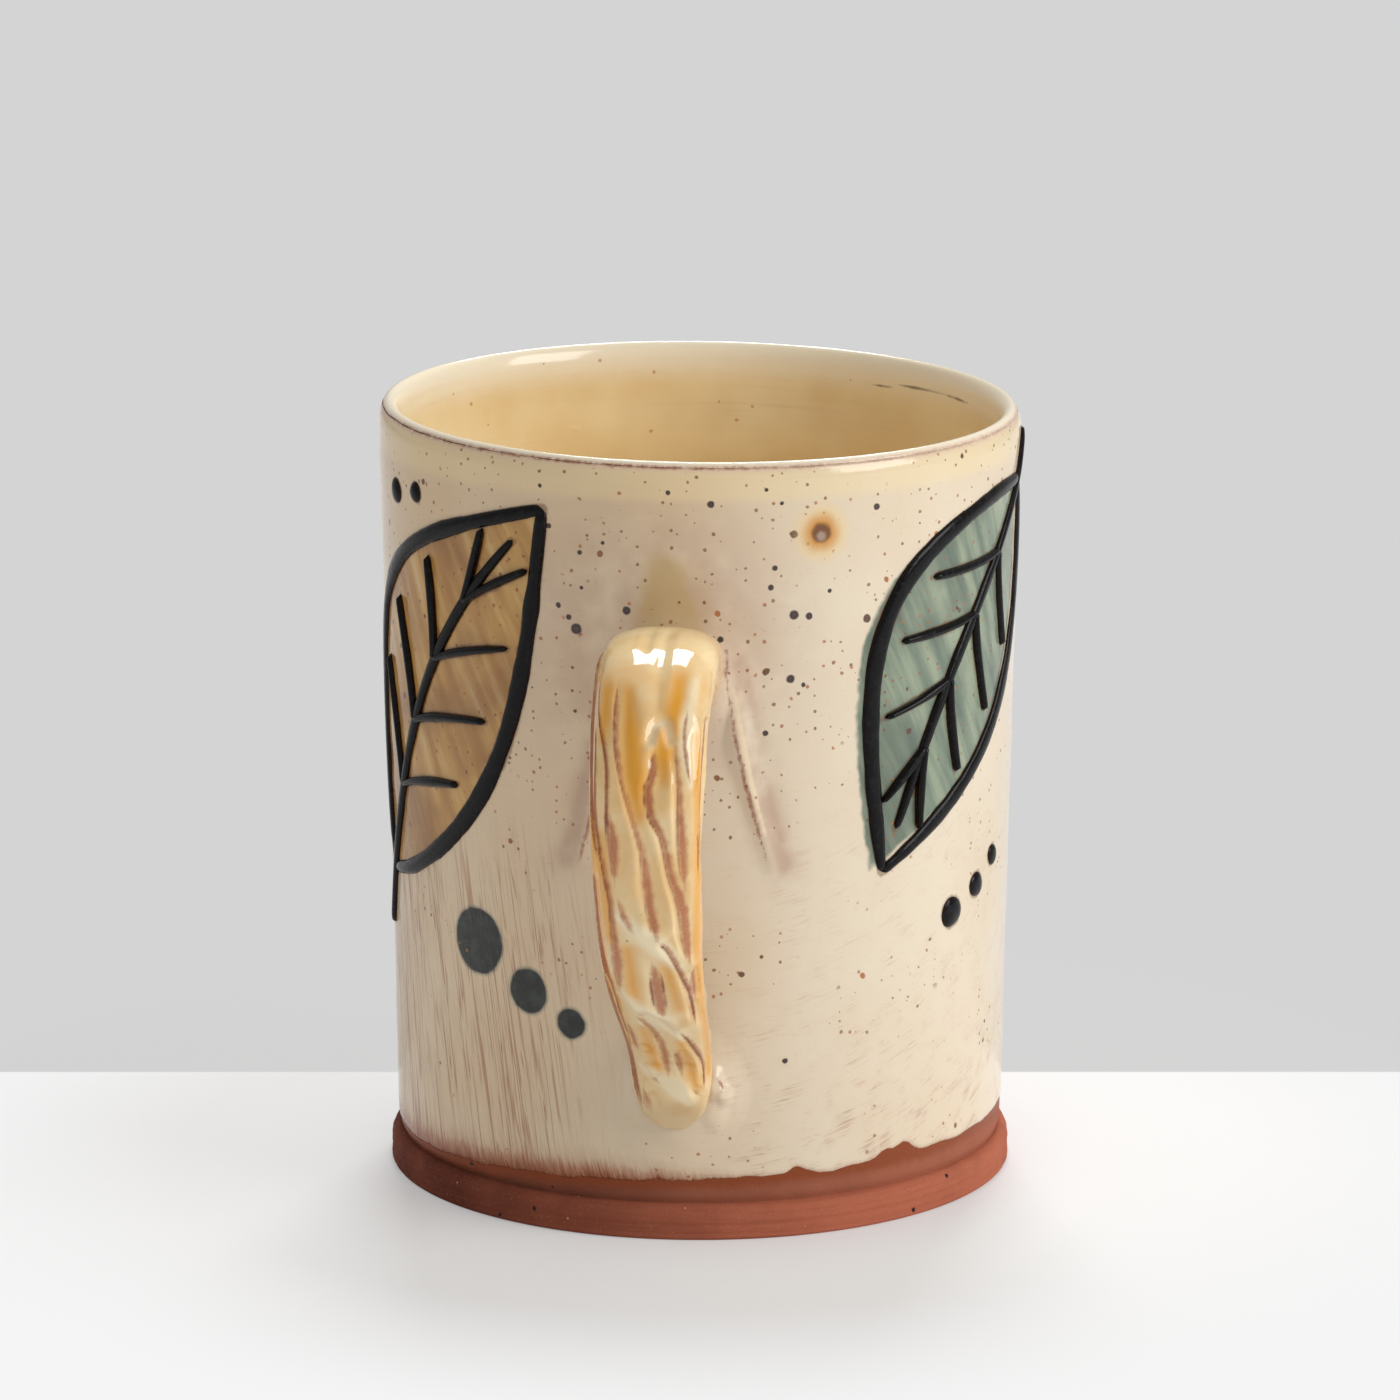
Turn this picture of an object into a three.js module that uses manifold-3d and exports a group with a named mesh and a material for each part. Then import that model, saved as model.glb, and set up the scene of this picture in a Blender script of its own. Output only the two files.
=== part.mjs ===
// A thrown red-clay mug with a pulled, fluted handle, under cream slip and a clear honey glaze.
// Millimetres, +Z up. The origin is the centre of the foot's underside, and the handle points along -Y.
import * as THREE from 'three';
import { mergeVertices } from 'three/addons/utils/BufferGeometryUtils.js';
import Module from 'manifold-3d';

// Body
const mugHeight = 106.5;
const rimRadius = 43.75;
const wallFlare = 1.9;
const bellyPower = 1.2;
const wallThickness = 4.3;
const lipThickness = 3;
const lipRound = 3;
const lipThinning = 14;
const rimDrop = 1.1;
const widestBelowRim = 7.5;

// Foot
const footFlange = 1.05;
const footHeight = 4.8;
const footEdge = 0.6;
const footShoulder = 0.8;
const footShoulderDrop = 1.2;
const floorHeight = 6.8;
const cornerRadius = 5;
const floorClearance = 0.3;

// Slip and glaze, and the bare ring that shows at the lip
const coatThickness = 0.4;
const coatSeat = 0.1;
const lipLineBelowRim = 1.1;
const lipLineWidth = 0.35;
const slipEdgeHeight = 8.2;
const slipEdgeWaver = 0.3;
const slipEdgeWavers = 3;
const slipEdgeRise = 1.9;
const slipEdgeBand = 5;

// Handle: its centreline springs from the wall, bows out, comes back to a heel and lies down on the wall
const upperRootHeight = 76;
const crestHeight = 88.2;
const crestReach = 14.5;
const crestShoulder = 85.6;
const bowHeight = 68;
const bowFall = 21;
const handleReach = 39.3;
const heelHeight = 30.5;
const heelReach = 9.5;
const heelSlope = 0.72;
const heelPull = 16;
const heelBend = 5;
const strapFootHeight = 15.4;
const strapFootReach = 1;
const strapFootPull = 7;

// Strap section: width and thickness at the top and at the foot, and the flutes carved round it
const strapWidthTop = 17.2;
const strapWidthFoot = 10.4;
const strapTaper = 1.2;
const strapThicknessTop = 8.6;
const strapThicknessFoot = 7;
const strapSquareness = 0.78;
const fluteCount = 11;
const fluteDepth = 0.55;
const fluteTurns = 0.5;
const fluteTurnGain = 1.6;
const rootNarrowing = 3;
const rootLength = 15;
const footTaperLength = 9;
const footTaper = 0.62;
const rootSink = 4;
const rootGap = 0.3;

// Pads of clay worked round the handle's two roots, and two ridges smeared down the wall from the upper one
const upperPadMargin = 2;
const upperPadProud = 2;
const lowerPadMargin = 2.3;
const lowerPadHeight = 14;
const lowerPadProud = 1.9;
const lowerPadShift = 1.4;
const lowerPadAboveFoot = 4.8;
const jointSink = 1;
const wingStartAcross = 7.2;
const wingEndAcross = 13.3;
const wingStartAboveRoot = 3;
const wingEndBelowRoot = 24.5;
const wingWidth = 3.2;
const wingTipWidth = 1.2;
const wingProud = 1.1;
const wingTipProud = 0.4;

// Raised black slip, laid on the outer coat
const trailHeight = 0.45;
const outlineWidth = 2.6;
const ribWidth = 1.8;
const veinWidth = 1.3;
const trailLayer = 0.04;
const trailTip = 0.45;
const trailFullness = 0.4;
const beadShoulder = 0.6;
const beadShoulderRise = 0.75;

// Facets: every round piece has the same number round, so that nested faces stay parallel
const roundSegments = 48;
const wallRows = 4;
const cornerRows = 3;
const lipRows = 5;
const shoulderRows = 2;
const strapRings = 38;
const samplesPerFlute = 3;
const clearanceSides = 20;
const padSides = 20;
const domeRows = 3;
const dotSides = 10;
const trailStep = 3.4;
const leafSteps = 12;
const mergeDistance = 1e-4;

const baseRadius = rimRadius - wallFlare;
const footRadius = baseRadius + footFlange;
const rootRise = (crestHeight - upperRootHeight) / crestReach;

const wasm = await Module();
wasm.setup();

function toSolid(geometry) {
  const plain = geometry.clone();
  plain.deleteAttribute('normal');
  plain.deleteAttribute('uv');
  const merged = mergeVertices(plain, mergeDistance);
  const corners = merged.index.array;
  const kept = [];
  for (let i = 0; i < corners.length; i += 3) {
    const [a, b, c] = corners.subarray(i, i + 3);
    if (a !== b && b !== c && c !== a) {
      kept.push(a, b, c);
    }
  }
  return new wasm.Manifold(new wasm.Mesh({
    numProp: 3,
    vertProperties: new Float32Array(merged.attributes.position.array),
    triVerts: new Uint32Array(kept),
  }));
}

function toGeometry(solid) {
  const mesh = solid.getMesh();
  const geometry = new THREE.BufferGeometry();
  geometry.setAttribute('position', new THREE.BufferAttribute(mesh.vertProperties, 3));
  geometry.setIndex(new THREE.BufferAttribute(mesh.triVerts, 1));
  geometry.computeVertexNormals();
  return geometry;
}

// Outer radius of the glazed wall at a height: nearly straight, opening a little towards the rim
function wallRadius(height) {
  const span = mugHeight - widestBelowRim - footHeight;
  const share = THREE.MathUtils.clamp((height - footHeight) / span, 0, 1);
  return baseRadius + (rimRadius - baseRadius) * share ** bellyPower;
}

// Inner radius of the glazed wall: the wall thins towards the lip
function innerRadius(height) {
  const belowLip = THREE.MathUtils.clamp((mugHeight - lipRound - height) / lipThinning, 0, 1);
  const eased = belowLip * (2 - belowLip);
  return wallRadius(height) - THREE.MathUtils.lerp(lipThickness, wallThickness, eased);
}

function outerSide(inset, from, to, steps) {
  const points = [];
  for (let i = 0; i <= steps; i += 1) {
    const height = THREE.MathUtils.lerp(from, to, i / steps);
    points.push(new THREE.Vector2(wallRadius(height) - inset, height));
  }
  return points;
}

// The rounded lip, from the outer side (turn 0) over the top to the inner side (turn PI)
function lipArc(inset, fromTurn, toTurn, steps) {
  const lipBase = mugHeight - lipRound;
  const middle = wallRadius(lipBase) - lipThickness / 2;
  const points = [];
  for (let i = 0; i <= steps; i += 1) {
    const turn = THREE.MathUtils.lerp(fromTurn, toTurn, i / steps);
    const radius = middle + (lipThickness / 2 - inset) * Math.cos(turn);
    const height = lipBase + (lipRound - inset) * Math.sin(turn);
    points.push(new THREE.Vector2(radius, height));
  }
  return points;
}

// The inner side below the lip, then the round corner into the floor
function innerSide(inset, steps, cornerSteps) {
  const lipBase = mugHeight - lipRound;
  const cornerTop = floorHeight + cornerRadius;
  const points = [];
  for (let i = 1; i <= steps; i += 1) {
    const height = THREE.MathUtils.lerp(lipBase, cornerTop, i / steps);
    points.push(new THREE.Vector2(innerRadius(height) + inset, height));
  }
  const centre = innerRadius(cornerTop) - cornerRadius;
  for (let i = 1; i <= cornerSteps; i += 1) {
    const turn = (i / cornerSteps) * Math.PI / 2;
    const reach = cornerRadius + inset;
    points.push(new THREE.Vector2(centre + reach * Math.cos(turn), cornerTop - reach * Math.sin(turn)));
  }
  return points;
}

// A full turn of a profile, stood upright; the rim runs down to +X by rimDrop in all
function turned(profile) {
  const geometry = new THREE.LatheGeometry(profile, roundSegments);
  geometry.rotateX(Math.PI / 2);
  return tiltRim(geometry);
}

function tiltRim(geometry) {
  const place = geometry.attributes.position;
  for (let i = 0; i < place.count; i += 1) {
    const height = place.getZ(i);
    place.setZ(i, height + rimShift(place.getX(i), height));
  }
  return geometry;
}

// The tilt grows from nothing at the floor, so the foot and the wall's seat stay level
function rimShift(x, height) {
  const share = Math.max(0, (height - floorHeight) / (mugHeight - floorHeight));
  return -(rimDrop / 2) * (x / rimRadius) * share;
}

const clayInset = coatThickness + coatSeat;
const lipLineTurn = Math.asin((lipRound - lipLineBelowRim) / lipRound);
const lipLineHalfTurn = lipLineWidth / 2 / lipRound;

function floorReach() {
  return innerRadius(floorHeight + cornerRadius) - cornerRadius;
}

function footPlate() {
  const boss = floorReach() - floorClearance;
  const shoulder = [];
  for (let i = 0; i <= shoulderRows; i += 1) {
    const turn = (i / shoulderRows) * Math.PI / 2;
    shoulder.push(new THREE.Vector2(
      footRadius - footShoulder * (1 - Math.cos(turn)),
      footHeight - footShoulderDrop * (1 - Math.sin(turn)),
    ));
  }
  return turned([
    new THREE.Vector2(0, 0),
    new THREE.Vector2(footRadius - footEdge, 0),
    new THREE.Vector2(footRadius, footEdge),
    ...shoulder,
    new THREE.Vector2(boss, footHeight),
    new THREE.Vector2(boss, floorHeight - clayInset),
    new THREE.Vector2(0, floorHeight - clayInset),
  ]);
}

function bodyWall() {
  const lipBase = mugHeight - lipRound;
  const inner = innerSide(clayInset, wallRows, cornerRows);
  const foot = inner[inner.length - 1].clone().setY(footHeight);
  const start = new THREE.Vector2(wallRadius(footHeight) - clayInset, footHeight);
  const outer = outerSide(clayInset, slipEdgeHeight, lipBase, wallRows);
  const lip = lipArc(clayInset, 0, Math.PI, lipRows).slice(1);
  return turned([start, ...outer, ...lip, ...inner, foot, start.clone()]);
}

// The slip's lower edge wavers, and stands higher on the +X side
function slipEdgeShift(angle) {
  return slipEdgeWaver * Math.sin(slipEdgeWavers * angle) + slipEdgeRise * Math.cos(angle);
}

function outerSlipCoat() {
  const lipBase = mugHeight - lipRound;
  const top = lipLineTurn - lipLineHalfTurn;
  const bandTop = slipEdgeHeight + slipEdgeBand;
  const sideOf = (inset) => [
    new THREE.Vector2(wallRadius(slipEdgeHeight) - inset, slipEdgeHeight),
    ...outerSide(inset, bandTop, lipBase, wallRows),
    ...lipArc(inset, 0, top, 1).slice(1),
  ];
  const outside = sideOf(0);
  const back = sideOf(coatThickness).reverse();
  const geometry = new THREE.LatheGeometry([...outside, ...back, outside[0].clone()], roundSegments);
  geometry.rotateX(Math.PI / 2);
  const place = geometry.attributes.position;
  for (let i = 0; i < place.count; i += 1) {
    const height = place.getZ(i);
    const share = THREE.MathUtils.clamp((bandTop - height) / slipEdgeBand, 0, 1);
    const angle = Math.atan2(place.getY(i), place.getX(i));
    place.setZ(i, height + slipEdgeShift(angle) * share);
  }
  const coat = toSolid(tiltRim(geometry));
  const luted = upperJointBlank(rootGap).add(lowerJointBlank(rootGap)).add(strapClearance());
  return toGeometry(coat.subtract(luted));
}

function linerSlipCoat() {
  const start = lipLineTurn + lipLineHalfTurn;
  const skin = (inset) => [
    ...lipArc(inset, start, Math.PI, lipRows),
    ...innerSide(inset, wallRows, cornerRows),
    new THREE.Vector2(0, floorHeight - inset),
  ];
  return turned([...skin(coatThickness).reverse(), ...skin(0)]);
}

// A solid skin over rings of points that run counter-clockwise about the way they advance
function loft(rings) {
  const count = rings[0].length;
  const points = rings.flat();
  const centreOf = (ring) => ring.reduce((sum, point) => sum.add(point), new THREE.Vector3()).divideScalar(count);
  points.push(centreOf(rings[0]), centreOf(rings[rings.length - 1]));
  const startCentre = points.length - 2;
  const endCentre = points.length - 1;
  const lastRing = (rings.length - 1) * count;
  const corners = [];
  for (let j = 0; j < count; j += 1) {
    const next = (j + 1) % count;
    for (let base = 0; base < lastRing; base += count) {
      corners.push(base + j, base + next, base + count + j);
      corners.push(base + next, base + count + next, base + count + j);
    }
    corners.push(startCentre, next, j);
    corners.push(endCentre, lastRing + j, lastRing + next);
  }
  const geometry = new THREE.BufferGeometry().setFromPoints(points);
  geometry.setIndex(corners);
  return geometry;
}

// The handle's centreline lies in the YZ plane: up and out to the bow, in to the heel, down along the wall
function handlePath() {
  const upperWall = wallRadius(upperRootHeight);
  const lowerWall = wallRadius(heelHeight);
  const bow = upperWall + handleReach;
  const heel = lowerWall + heelReach;
  const point = (reach, height) => new THREE.Vector3(0, -reach, height);
  const path = new THREE.CurvePath();
  path.add(new THREE.LineCurve3(
    point(upperWall - rootSink, upperRootHeight - rootSink * rootRise),
    point(upperWall, upperRootHeight),
  ));
  path.add(new THREE.CubicBezierCurve3(
    point(upperWall, upperRootHeight),
    point(upperWall + crestReach, crestHeight),
    point(bow, crestShoulder),
    point(bow, bowHeight),
  ));
  path.add(new THREE.CubicBezierCurve3(
    point(bow, bowHeight),
    point(bow, bowHeight - bowFall),
    point(heel + heelPull, heelHeight + heelPull * heelSlope),
    point(heel, heelHeight),
  ));
  path.add(new THREE.CubicBezierCurve3(
    point(heel, heelHeight),
    point(heel - heelBend, heelHeight - heelBend * heelSlope),
    point(lowerWall + strapFootReach, strapFootHeight + strapFootPull),
    point(lowerWall + strapFootReach, strapFootHeight),
  ));
  return path;
}

const centreline = handlePath();
const centrelineLength = centreline.getLength();

// Half-width and half-thickness: narrow at the root, full over the crest, pressed small at the foot
function strapHalfSizes(along) {
  const fromRoot = along * centrelineLength;
  const fromFoot = (1 - along) * centrelineLength;
  const rootShare = Math.max(0, 1 - fromRoot / rootLength);
  const footShare = Math.max(0, 1 - fromFoot / footTaperLength);
  const foot = 1 - (1 - footTaper) * footShare ** 2;
  const width = THREE.MathUtils.lerp(strapWidthTop, strapWidthFoot, along ** strapTaper);
  const thickness = THREE.MathUtils.lerp(strapThicknessTop, strapThicknessFoot, along);
  return [(width - rootNarrowing * rootShare) * foot / 2, thickness * foot / 2];
}

// A boxy oval across the centreline; dent(turn) is how far its skin is carved in
function strapRing(along, sides, grow, startTurn, dent) {
  const middle = centreline.getPointAt(along);
  const ahead = centreline.getTangentAt(along);
  const outward = new THREE.Vector3(0, ahead.z, -ahead.y);
  const [halfWidth, halfThickness] = strapHalfSizes(along);
  const ring = [];
  for (let i = 0; i < sides; i += 1) {
    const turn = startTurn + (i / sides) * 2 * Math.PI;
    const cos = Math.cos(turn);
    const sin = Math.sin(turn);
    const depth = dent(i);
    const across = (halfWidth + grow - depth) * Math.sign(cos) * Math.abs(cos) ** strapSquareness;
    const out = (halfThickness + grow - depth) * Math.sign(sin) * Math.abs(sin) ** strapSquareness;
    ring.push(middle.clone().addScaledVector(outward, out).add(new THREE.Vector3(across, 0, 0)));
  }
  return ring;
}

// The flutes turn slowly round the strap, faster towards its foot, with a sharp ridge between each two
function flutedStrap() {
  const sides = fluteCount * samplesPerFlute;
  const dent = (i) => (i % samplesPerFlute === 0 ? 0 : fluteDepth);
  const rings = [];
  for (let i = 0; i <= strapRings; i += 1) {
    const along = i / strapRings;
    const turn = -fluteTurns * 2 * Math.PI * along ** fluteTurnGain;
    rings.push(strapRing(along, sides, 0, turn, dent));
  }
  return loft(rings);
}

// Everything inside the wall's clay face, grown by a gap; it trims what is luted onto the wall
function wallCore(gap) {
  const low = footHeight + gap;
  const profile = [
    new THREE.Vector2(0, low),
    ...outerSide(clayInset - gap, low, mugHeight - lipRound, wallRows),
    new THREE.Vector2(0, mugHeight - lipRound),
  ];
  return toSolid(turned(profile));
}

// A place on the glazed wall: arc length across from the handle's line, height, and how far it stands proud
function onWall(across, height, proud) {
  const angle = across / rimRadius;
  const radius = wallRadius(height) + proud;
  const x = radius * Math.sin(angle);
  return new THREE.Vector3(x, -radius * Math.cos(angle), height + rimShift(x, height));
}

// One bead along points [across, height] on the wall; sizes(t) gives its half-width, foot and top
function bead(points, sizes) {
  const last = points.length - 1;
  const rings = points.map((point, i) => {
    const before = points[Math.max(0, i - 1)];
    const after = points[Math.min(last, i + 1)];
    const ahead = after.clone().sub(before).normalize();
    const { half, foot, top } = sizes(i / last);
    const shoulder = THREE.MathUtils.lerp(foot, top, beadShoulderRise);
    const section = [[1, foot], [beadShoulder, shoulder], [0, top], [-beadShoulder, shoulder], [-1, foot]];
    return section.map(([side, proud]) => onWall(
      point.x - ahead.y * half * side,
      point.y + ahead.x * half * side,
      proud,
    ));
  });
  return loft(rings);
}

function strokePoints(curve) {
  const steps = Math.max(3, Math.round(curve.getLength() / trailStep));
  return curve.getSpacedPoints(steps);
}

function wingBlanks(grow) {
  return [-1, 1].map((side) => {
    const curve = new THREE.LineCurve(
      new THREE.Vector2(side * wingStartAcross, upperRootHeight + wingStartAboveRoot),
      new THREE.Vector2(side * wingEndAcross, upperRootHeight - wingEndBelowRoot - grow),
    );
    return toSolid(bead(strokePoints(curve), (t) => ({
      half: THREE.MathUtils.lerp(wingWidth, wingTipWidth, t) / 2 + grow,
      foot: -jointSink - grow,
      top: THREE.MathUtils.lerp(wingProud, wingTipProud, t) + grow,
    })));
  });
}

// One oval ring on the wall
function ovalRing(across, height, halfWide, halfHigh, sides, proud) {
  const ring = [];
  for (let i = 0; i < sides; i += 1) {
    const turn = (i / sides) * 2 * Math.PI;
    ring.push(onWall(across + halfWide * Math.cos(turn), height + halfHigh * Math.sin(turn), proud));
  }
  return ring;
}

// The rings of a low oval dome on the wall, rising from base to proud
function domeRings(across, height, halfWide, halfHigh, sides, base, proud) {
  const rings = [];
  for (let i = 0; i < domeRows; i += 1) {
    const turn = (i / domeRows) * Math.PI / 2;
    const share = Math.cos(turn);
    const rise = THREE.MathUtils.lerp(base, proud, Math.sin(turn));
    rings.push(ovalRing(across, height, halfWide * share, halfHigh * share, sides, rise));
  }
  return rings;
}

function pad(across, height, wide, high, proud, grow) {
  const halfWide = wide / 2 + grow;
  const halfHigh = high / 2 + grow;
  const sunk = ovalRing(across, height, halfWide, halfHigh, padSides, -jointSink);
  return toSolid(loft([
    sunk,
    ...domeRings(across, height, halfWide, halfHigh, padSides, 0, proud + grow),
  ]));
}

// The upper pad takes the size of the strap's slanting cut through the wall
function upperJointBlank(grow) {
  const rootHeight = strapThicknessTop * Math.hypot(1, rootRise);
  const wide = strapWidthTop - rootNarrowing + 2 * upperPadMargin;
  const root = pad(0, upperRootHeight, wide, rootHeight + 2 * upperPadMargin, upperPadProud, grow);
  return wingBlanks(grow).reduce((whole, wing) => whole.add(wing), root);
}

function lowerJointBlank(grow) {
  const height = strapFootHeight + lowerPadAboveFoot;
  const wide = strapWidthFoot + 2 * lowerPadMargin;
  return pad(lowerPadShift, height, wide, lowerPadHeight, lowerPadProud, grow);
}

function handleStrap() {
  return toGeometry(toSolid(flutedStrap()).subtract(wallCore(rootGap)));
}

function strapClearance() {
  const rings = [];
  for (let i = 0; i <= strapRings; i += 1) {
    rings.push(strapRing(i / strapRings, clearanceSides, rootGap, 0, () => 0));
  }
  return toSolid(loft(rings));
}

function upperJoint() {
  return toGeometry(upperJointBlank(0).subtract(strapClearance()).subtract(wallCore(rootGap)));
}

function lowerJoint() {
  return toGeometry(lowerJointBlank(0).subtract(strapClearance()).subtract(wallCore(rootGap)));
}

// A leaf on the wall: base and tip as [across, distance below the rim], its half-width and its lean
const leaves = {
  ochre_leaf_trail: { base: [-55, 63.5], tip: [-18, 7.5], half: 17, bend: 4 },
  green_leaf_trail: { base: [63, 8.5], tip: [30, 57.5], half: 15.5, bend: -4 },
  back_leaf_trail: { base: [126, 64.5], tip: [144, 14.5], half: 14, bend: 3 },
};

// Shares of a leaf's length, and of its half-width for the veins' reach
const leafFullness = 0.85;
const stemShare = 0.14;
const ribShare = 0.9;
const veinPairs = 4;
const firstVein = 0.2;
const lastVein = 0.7;
const veinLean = 0.17;
const veinReach = 0.76;
const veinSweep = 1.2;

function belowRim([across, distance]) {
  return new THREE.Vector2(across, mugHeight - distance);
}

function leafPoint(leaf, along, across) {
  const base = belowRim(leaf.base);
  const axis = belowRim(leaf.tip).sub(base);
  const side = new THREE.Vector2(-axis.y, axis.x).normalize();
  const offset = across * leaf.half + leaf.bend * Math.sin(Math.PI * along);
  return base.addScaledVector(axis, along).addScaledVector(side, offset);
}

// Half-width of the leaf along its length, as a share of its largest: fullest below the middle
function leafShare(along) {
  return Math.sin(Math.PI * along ** leafFullness);
}

function leafStroke(leaf, from, to, acrossOf) {
  const points = [];
  for (let i = 0; i <= leafSteps; i += 1) {
    const along = THREE.MathUtils.lerp(from, to, i / leafSteps);
    points.push(leafPoint(leaf, along, acrossOf(along, i / leafSteps)));
  }
  return new THREE.SplineCurve(points);
}

function leafTrail(leaf) {
  const strokes = [
    [leafStroke(leaf, 0, 1, leafShare), outlineWidth],
    [leafStroke(leaf, 0, 1, (along) => -leafShare(along)), outlineWidth],
    [leafStroke(leaf, -stemShare, ribShare, () => 0), ribWidth],
  ];
  for (let i = 0; i < veinPairs; i += 1) {
    const from = THREE.MathUtils.lerp(firstVein, lastVein, i / (veinPairs - 1));
    const to = from + veinLean;
    for (const side of [-1, 1]) {
      const reach = side * veinReach * leafShare(to);
      strokes.push([leafStroke(leaf, from, to, (along, t) => reach * t ** veinSweep), veinWidth]);
    }
  }
  const beads = strokes.map(([curve, width], layer) => toSolid(bead(strokePoints(curve), (t) => ({
    half: (width / 2) * THREE.MathUtils.lerp(trailTip, 1, Math.sin(Math.PI * t) ** trailFullness),
    foot: coatSeat + trailLayer * layer,
    top: trailHeight + trailLayer * layer,
  }))));
  return toGeometry(beads.reduce((whole, part) => whole.add(part)));
}

// Drops of black slip: place as for a leaf, and width
const dots = [
  { place: [44, 65.5], width: 4.4 },
  { place: [50.5, 63], width: 3.6 },
  { place: [56, 60], width: 3 },
  { place: [-49, 10], width: 3.4 },
  { place: [-42.5, 9], width: 2.8 },
];

function slipDot({ place, width }) {
  const { x, y } = belowRim(place);
  return loft(domeRings(x, y, width / 2, width / 2, dotSides, coatSeat, trailHeight));
}

const terracotta = { color: 0x96503c, roughness: 0.85, metalness: 0 };
const creamGlaze = { color: 0xe0cdaa, roughness: 0.3, metalness: 0 };
const honeyGlaze = { color: 0xe2c380, roughness: 0.25, metalness: 0 };
const blackSlip = { color: 0x1c1a1c, roughness: 0.35, metalness: 0 };

const mug = new THREE.Group();

function addPiece(name, geometry, finish) {
  const mesh = new THREE.Mesh(geometry, new THREE.MeshStandardMaterial(finish));
  mesh.name = name;
  mug.add(mesh);
}

addPiece('foot_plate', footPlate(), terracotta);
addPiece('body_wall', bodyWall(), terracotta);
addPiece('outer_slip_coat', outerSlipCoat(), creamGlaze);
addPiece('liner_slip_coat', linerSlipCoat(), creamGlaze);
addPiece('handle_strap', handleStrap(), honeyGlaze);
addPiece('upper_joint_clay', upperJoint(), creamGlaze);
addPiece('lower_joint_clay', lowerJoint(), creamGlaze);
for (const [name, leaf] of Object.entries(leaves)) {
  addPiece(name, leafTrail(leaf), blackSlip);
}
dots.forEach((dot, i) => addPiece(`slip_dot_${i + 1}`, slipDot(dot), blackSlip));

export default mug;
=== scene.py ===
import math

import bpy
import numpy as np
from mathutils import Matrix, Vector


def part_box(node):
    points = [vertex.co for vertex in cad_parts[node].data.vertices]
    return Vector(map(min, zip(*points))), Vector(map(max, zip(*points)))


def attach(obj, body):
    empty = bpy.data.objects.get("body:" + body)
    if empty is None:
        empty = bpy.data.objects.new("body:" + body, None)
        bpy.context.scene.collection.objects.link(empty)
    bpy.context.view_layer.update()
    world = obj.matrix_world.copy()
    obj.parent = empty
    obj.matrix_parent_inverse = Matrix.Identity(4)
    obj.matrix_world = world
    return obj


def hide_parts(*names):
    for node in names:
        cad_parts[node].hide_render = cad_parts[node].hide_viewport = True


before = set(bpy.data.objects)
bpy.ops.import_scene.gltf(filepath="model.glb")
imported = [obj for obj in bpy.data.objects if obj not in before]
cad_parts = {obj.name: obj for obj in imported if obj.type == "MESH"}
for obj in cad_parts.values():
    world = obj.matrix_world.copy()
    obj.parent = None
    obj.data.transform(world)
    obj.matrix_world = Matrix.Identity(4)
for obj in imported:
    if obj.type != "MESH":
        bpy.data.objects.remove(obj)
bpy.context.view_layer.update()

# A thrown red-clay mug with a pulled, fluted handle, under cream slip and a clear honey glaze.
# Sizes are in millimetres and become metres when a mesh is made. The origin is the centre of the
# foot's underside, +Z is up and the handle points along -Y.
MM = 0.001

# Body
rim_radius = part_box("outer_slip_coat")[1].y / MM
foot_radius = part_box("foot_plate")[1].x / MM
mug_height = 106.5
wall_flare = 1.9
belly_power = 1.2
wall_thickness = 4.3
lip_thickness = 3
lip_round = 3
lip_thinning = 14
rim_drop = 1.1
rim_lean = 1.0
rim_sink = 0.2
rim_lean_depth = 25
widest_below_rim = 7.5
foot_height = 4.8
foot_edge = 0.6
foot_shoulder = 1.5
foot_shoulder_drop = 1.8
floor_height = 6.8
corner_radius = 5
floor_clearance = 0.3
base_radius = rim_radius - wall_flare

# Slip and glaze
coat_thickness = 0.4
clay_inset = 0.5
skin_inset = 0.1
lip_line_below_rim = 0.65
lip_line_width = 0.2
lip_clay_inset = 0.12
slip_edge_height = 7.6
slip_edge_waver = 0.3
slip_edge_wavers = 3
slip_edge_rise = 1.4
slip_edge_fray = 0.17
# The edge's small frays: size of the large ones, then strength, size and shift of the fine ones
fray_size = 2.6
fray_detail = (0.5, 1.1, 9)
edge_thinning = 0.3
edge_thinning_reach = 0.35
# How the bare line at the lip varies round the mug, as shares of its width
lip_gap = 0.6
lip_gap_turn = 0.5
lip_gap_unevenness = 1.2
lip_gap_patch = 1.9
lip_gap_range = (0.05, 2)
outer_gap_shift = 3
inner_gap_shift = 5
groove_depth = 0.35

# Handle
upper_root_height = 76
crest_height = 88.2
crest_reach = 14.5
crest_shoulder = 85.6
bow_height = 68
bow_fall = 21
handle_reach = 39.3
heel_height = 30.5
heel_reach = 9.5
heel_slope = 0.72
heel_pull = 16
heel_bend = 5
strap_foot_height = 15.4
strap_foot_reach = 1
strap_foot_pull = 7
strap_width_top = 17.2
strap_width_foot = 10.4
strap_taper = 1.2
strap_thickness_top = 8.6
strap_thickness_foot = 7
strap_squareness = 0.78
flute_count = 11
flute_depth = 0.55
flute_turns = 0.5
flute_turn_gain = 1.6
flute_roundness = 0.8
fluted_from = (26, 60)
groove_half = 0.15
groove_line_inset = 0.1
groove_red = 0.7
root_narrowing = 3
root_length = 15
root_sink = 4
root_flank = 6
root_pinch = 0.8
root_hidden = 2
pinched_from = (32, 14)
front_from = (-0.2, 0.0)
edge_round = 1.0
front_inset = 0.16
tip_round = 8
tip_bluntness = 2.4
foot_taper_length = 9
foot_taper = 0.62

# Pads and ridges of clay where the handle is joined
upper_pad_half = (9.1, 7.6)
upper_pad_proud = 2
lower_pad_place = (1.4, 20.2)
lower_pad_half = (7.5, 7)
lower_pad_proud = 1.4
wing_start = (7.2, 79)
wing_end = (13.3, 51.5)
wing_widths = (3.2, 1.2)
wing_proud = (1.1, 0.4)
wing_bow = (-0.7, 0)
wing_points = 5
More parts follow.
